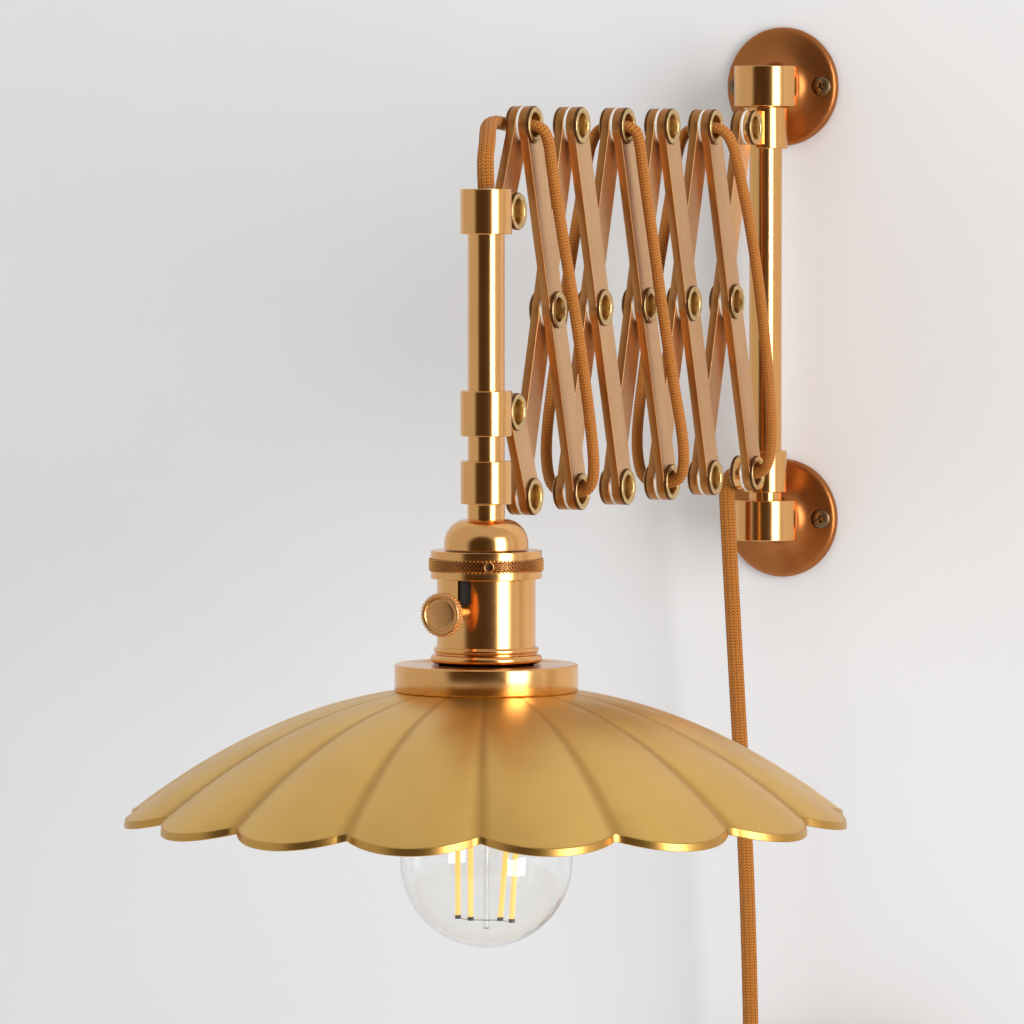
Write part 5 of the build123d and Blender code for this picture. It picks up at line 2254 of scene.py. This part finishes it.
@dataclass
class BulbAndSocket:
    """Black lamp socket with its screw shell, and the clear globe bulb in it."""

    holder: Lampholder
    socket_low: float = -205.77
    shell_low: float = -202.77
    shell_top: float = -177.77
    wall: float = 3.0
    shade_ring: float = 24.0
    centre: float = -252.27
    globe: float = 40.0
    neck: float = 14.5
    neck_low: float = -204.77
    glass_wall: float = 0.7
    spread: tuple = ((-15.5, -15.5), (-7.0, -7.0), (9.75, 6.1), (16.4, 13.9))
    filament_top: float = 12.0
    filament_low: float = 26.5
    filament_radius: float = 1.35
    filament_stagger: float = 2.2
    filament_cap: float = 0.9
    thread_pitch: float = 3.6

    def glass(self) -> Body:
        """Hollow globe with a drawn neck.

        Returns:
            The glass on Z.
        """
        profiles = []
        for shrink in (0.0, self.glass_wall):
            radius, neck = self.globe - shrink, self.neck - shrink
            start = asin((neck + 4.0) / radius)
            arc = []
            for step in range(41):
                turn = start + (pi - start) * step / 40
                arc.append((max(0.0, radius * sin(turn)), self.centre + radius * cos(turn)))
            arc[-1] = (0.0, arc[-1][1])
            shoulder = smooth_run([(neck, self.neck_low), (neck, self.neck_low - 3.0),
                                   (neck + 1.2, self.neck_low - 6.0), arc[0]], 5)
            profiles.append([*shoulder[:-1], *arc])
        outer, inner = profiles
        return spun([*inner[::-1], *outer], 112, False)

    def filaments(self) -> tuple[Body, ...]:
        """Coated rods, their wires, their end caps and the glass stem.

        Returns:
            Rods, wires, caps and stem, each on Z.
        """
        top, low = self.centre + self.filament_top, self.centre - self.filament_low
        rods, wires, caps, feet = [], [], [], []
        for number, (upper, lower) in enumerate(self.spread):
            depth = self.filament_stagger * (-1) ** number
            head, foot = Vector((upper, depth, top)), Vector((lower, depth, low))
            rods.append(self.wire(foot, head, self.filament_radius))
            for end, tip in ((foot, -self.filament_cap), (head, self.filament_cap)):
                cap = solid(barrel_profile(self.filament_radius + 0.12, -self.filament_cap,
                                           self.filament_cap), 0.2, 16)
                caps.append(moved(cap, Matrix.Translation(end) @ at(0, 0, tip * 0.4)))
            wires.append(self.wire(head, Vector((upper * 0.2, 0, top + 9)), 0.25))
            feet.append(foot - Vector((0, 0, 1.0)))
        for first, second in zip(feet, feet[1:]):
            wires.append(self.wire(first, second, 0.3))
        stem = smooth_run([(0.0, low - 5.0), (1.3, low - 4.6), (1.5, low), (1.5, top), (2.6, top + 8),
                           (3.0, top + 18), (6.5, top + 28), (12.0, top + 34)], 5)
        stem = spun([*stem, (0.0, stem[-1][1])], 40, False)
        return together(*rods), together(*wires), together(*caps), stem

    @staticmethod
    def wire(start: Vector, end: Vector, radius: float) -> Body:
        """Thin straight wire between two points.

        Args:
            start: its first end.
            end: its last end.
            radius: its radius.

        Returns:
            The wire.
        """
        run = end - start
        mesh = solid(barrel_profile(radius, 0.0, run.length), 0.05, 8)
        turn = run.to_track_quat("Z", "Y").to_matrix().to_4x4()
        return moved(mesh, Matrix.Translation(start) @ turn)

    def build(self, shop: Workshop) -> None:
        """Makes the socket and the bulb.

        Args:
            shop: the workshop.
        """
        holder = self.holder
        sheet_low = holder.gallery_top - holder.gallery_height - 1.4
        bore = holder.holder_radius - self.wall
        outline = [(0.0, holder.gallery_top), (holder.holder_radius, holder.gallery_top),
                   (holder.holder_radius, sheet_low), (self.shade_ring, sheet_low),
                   (self.shade_ring, sheet_low - 3.5), (holder.holder_radius, sheet_low - 3.5),
                   (holder.holder_radius, self.socket_low), (bore, self.socket_low),
                   (bore, self.shell_top + 0.1), (0.0, self.shell_top + 0.1)]
        holder.add(shop, "socket_black_body", solid(outline, 0.5, 112), "black", "socket_body")
        holder.add(shop, "shell_threaded", self.shell(), "nickel", "socket_thread_shell")
        cap_core = ThreadCutter(12.7, 13.1, self.thread_pitch, self.neck_low - 0.2, self.shell_top - 3.2,
                                64, 10).mesh()
        contact = solid(barrel_profile(5.0, self.shell_top - 3.3, self.shell_top - 0.6), 0.6, 40)
        holder.add(shop, "cap_threaded", together(cap_core, contact), "nickel", "bulb_cap")
        rods, wires, caps, stem = self.filaments()
        holder.add(shop, "filament_rods", rods, "filament", "bulb_filaments")
        holder.add(shop, "filament_wires", wires, "nickel")
        holder.add(shop, "filament_caps", caps, "black")
        holder.add(shop, "filament_stem", stem, "stem")
        holder.add(shop, "globe_glass", self.glass(), "glass", "bulb_glass")

    def shell(self) -> Body:
        """Thin screw shell with a rolled mouth.

        Returns:
            The shell on Z.
        """
        outer = [(14.35, self.shell_low)]
        count = 40
        for step in range(count + 1):
            level = self.shell_low + 1.0 + (self.shell_top - self.shell_low - 3.0) * step / count
            outer.append((14.0 + 0.35 * cos(tau * level / self.thread_pitch), level))
        outer += [(14.2, self.shell_top - 0.4), (0.0, self.shell_top - 0.2)]
        inner = [(max(0.0, radius - 0.45), level - (0.45 if radius < 1 else 0.0)) for radius, level in outer]
        inner[-2] = (13.7, self.shell_top - 0.9)
        return spun([*inner[::-1], *outer], 72, False)


# ---- Studio ----
@dataclass
class Studio:
    """Camera at the photograph's angle, the pale wall, a floor and soft lights."""

    azimuth: float = 24.15
    elevation: float = 2.8
    distance: float = 3615.5
    focal: float = 7110.3
    aside: float = -137.95
    above: float = -106.58
    frame_pixels: float = 1024.0
    sensor: float = 36.0
    wall_colour: tuple = (0.82, 0.83, 0.845)
    target: tuple = (0.0, -0.2, -0.05)
    half_width: float = 3.0
    floor_level: float = -1.3
    wall_top: float = 2.2
    wall_face: float = 0.0005

    def basis(self, azimuth: float, elevation: float) -> tuple[Vector, Vector, Vector]:
        """Directions right, up and back of a viewer at an angle.

        Args:
            azimuth: degrees from straight on, toward +X.
            elevation: degrees above level.

        Returns:
            Three unit vectors.
        """
        a, e = radians(azimuth), radians(elevation)
        back = Vector((sin(a) * cos(e), -cos(a) * cos(e), sin(e)))
        right = Vector((cos(a), sin(a), 0))
        return right, back.cross(right), back

    def camera(self) -> None:
        """Makes the camera."""
        right, up, back = self.basis(self.azimuth, self.elevation)
        data = bpy.data.cameras.new("camera")
        data.sensor_width = self.sensor
        data.lens = self.focal / self.frame_pixels * self.sensor
        data.clip_start, data.clip_end = 0.05, 60.0
        camera = linked("camera", data)
        place = (back * self.distance + right * self.aside + up * self.above) * MM
        camera.matrix_world = Matrix.Translation(place) @ Matrix((right, up, back)).transposed().to_4x4()
        bpy.context.scene.camera = camera

    def stage_material(self, name: str, colour: tuple, see_through: bool) -> bpy.types.Material:
        """Matt pale paint, darkened towards +X as painted shade, clear from behind where the wall would hide
        the lamp.

        Args:
            name: the material's name.
            colour: its colour.
            see_through: whether its back is clear to the camera.

        Returns:
            The material.
        """
        board = Board(name)
        paint = board.noise(board.place(), 6.0, 4.0, 0.6)
        tone = board.mixed(paint.stretched(0.2, 0.8) * 0.03, colour, tuple(0.9 * part for part in colour))
        # painted shade: the sheet darkens towards +X beyond 0.35 m
        away, _, _ = board.parts(board.place())
        tone = board.mixed(away.stretched(0.35, 0.9) * 0.6, tone, (0.30, 0.25, 0.22))
        surface = board.node("ShaderNodeBsdfDiffuse", None, {"Color": tone})
        if see_through:
            behind = board.node("ShaderNodeNewGeometry", output="Backfacing")
            clear = board.node("ShaderNodeBsdfTransparent")
            surface = board.node("ShaderNodeMixShader", None, {0: behind, 1: surface, 2: clear})
        return board.close(surface)

    def stage(self) -> None:
        """Makes the wall and the floor."""
        wide, low, top, face = self.half_width, self.floor_level, self.wall_top, self.wall_face
        sheets = {"wall_backdrop": ([(-wide, face, low), (wide, face, low), (wide, face, top),
                                     (-wide, face, top)], True),
                  "floor_backdrop": ([(-wide, -4.5, low), (wide, -4.5, low), (wide, 0.5, low),
                                      (-wide, 0.5, low)], False)}
        for name, (corners, see_through) in sheets.items():
            mesh = bpy.data.meshes.new(name)
            mesh.from_pydata(corners, [], [(0, 1, 2, 3)])
            made = loose_object(name, mesh, 1.0)
            made.data.materials.append(self.stage_material(name, self.wall_colour, see_through))

    def lamp(self, name: str, azimuth: float, elevation: float, distance: float, size: tuple[float, float],
             power: float, mirrored: bool) -> None:
        """Makes one soft light that faces the lamp.

        Args:
            name: the light's name.
            azimuth: degrees from straight on, toward +X.
            elevation: degrees above level.
            distance: metres from the target.
            size: width and height in metres.
            power: watts.
            mirrored: whether polished metal shows it.
        """
        right, up, back = self.basis(azimuth, elevation)
        data = bpy.data.lights.new(name, "AREA")
        data.shape = "RECTANGLE"
        data.size, data.size_y = size
        data.energy = power
        light = linked(name, data)
        light.visible_glossy = mirrored
        turn = Matrix((right, up, back)).transposed().to_4x4()
        light.matrix_world = Matrix.Translation(Vector(self.target) + back * distance) @ turn

    def lights(self) -> None:
        """Makes the lights and the world."""
        self.lamp("window_left", -58.0, 12.0, 2.6, (3.2, 3.0), 14.0, False)
        self.lamp("strip_right", 63.0, 5.0, 3.4, (1.5, 2.8), 100.0, True)
        self.lamp("overhead", 25.0, 70.0, 2.4, (2.2, 1.6), 14.0, False)
        world = bpy.data.worlds.new("studio")
        bpy.context.scene.world = world
        world.use_nodes = True
        tree = Wiring(world.node_tree)
        facing = tree.node("ShaderNodeVectorMath", {"operation": "DOT_PRODUCT"},
                           {0: tree.node("ShaderNodeTexCoord", output="Generated"),
                            1: self.basis(13.0, 0.0)[2]}, "Value")
        half = tree.node("ShaderNodeMath", {"operation": "MULTIPLY_ADD"}, {0: facing, 1: 0.5, 2: 0.5})
        stops = [(0.0, (0.64, 0.64, 0.63)), (0.85, (0.62, 0.62, 0.61)),
                 (0.925, (0.085, 0.055, 0.028)), (1.0, (0.07, 0.042, 0.02))]
        ramp = tree.node("ShaderNodeValToRGB", {"stops": stops}, {0: half})
        ramp.socket.node.color_ramp.interpolation = "EASE"
        shade = tree.node("ShaderNodeBackground", None, {"Color": ramp})
        pale = tree.node("ShaderNodeBackground", None, {"Color": (*self.wall_colour, 1.0)})
        rays = tree.node("ShaderNodeLightPath", output="Is Camera Ray")
        mix = tree.node("ShaderNodeMixShader", None, {0: rays, 1: shade, 2: pale})
        tree.node("ShaderNodeOutputWorld", None, {"Surface": mix}, None)
        bpy.context.scene.view_settings.view_transform = "Standard"

    def build(self) -> None:
        """Makes the studio."""
        self.camera()
        self.stage()
        self.lights()


def main() -> None:
    """Builds the studio and every sub-assembly in order."""
    logging.basicConfig(level=logging.INFO, format="%(name)s: %(message)s")
    layout = Layout()
    Studio().build()
    shop = Workshop(Finishes())
    ThreadedCord(layout).build(shop)
    WallMount(layout).build(shop)
    ScissorArm(layout).build(shop)
    holder = Lampholder(layout)
    holder.build(shop)
    SwitchKnob(holder).build(shop)
    PleatedShade(holder).build(shop)
    BulbAndSocket(holder).build(shop)
    LOG.info("%d pieces made", shop.count)


if __name__ == "__main__":
    main()
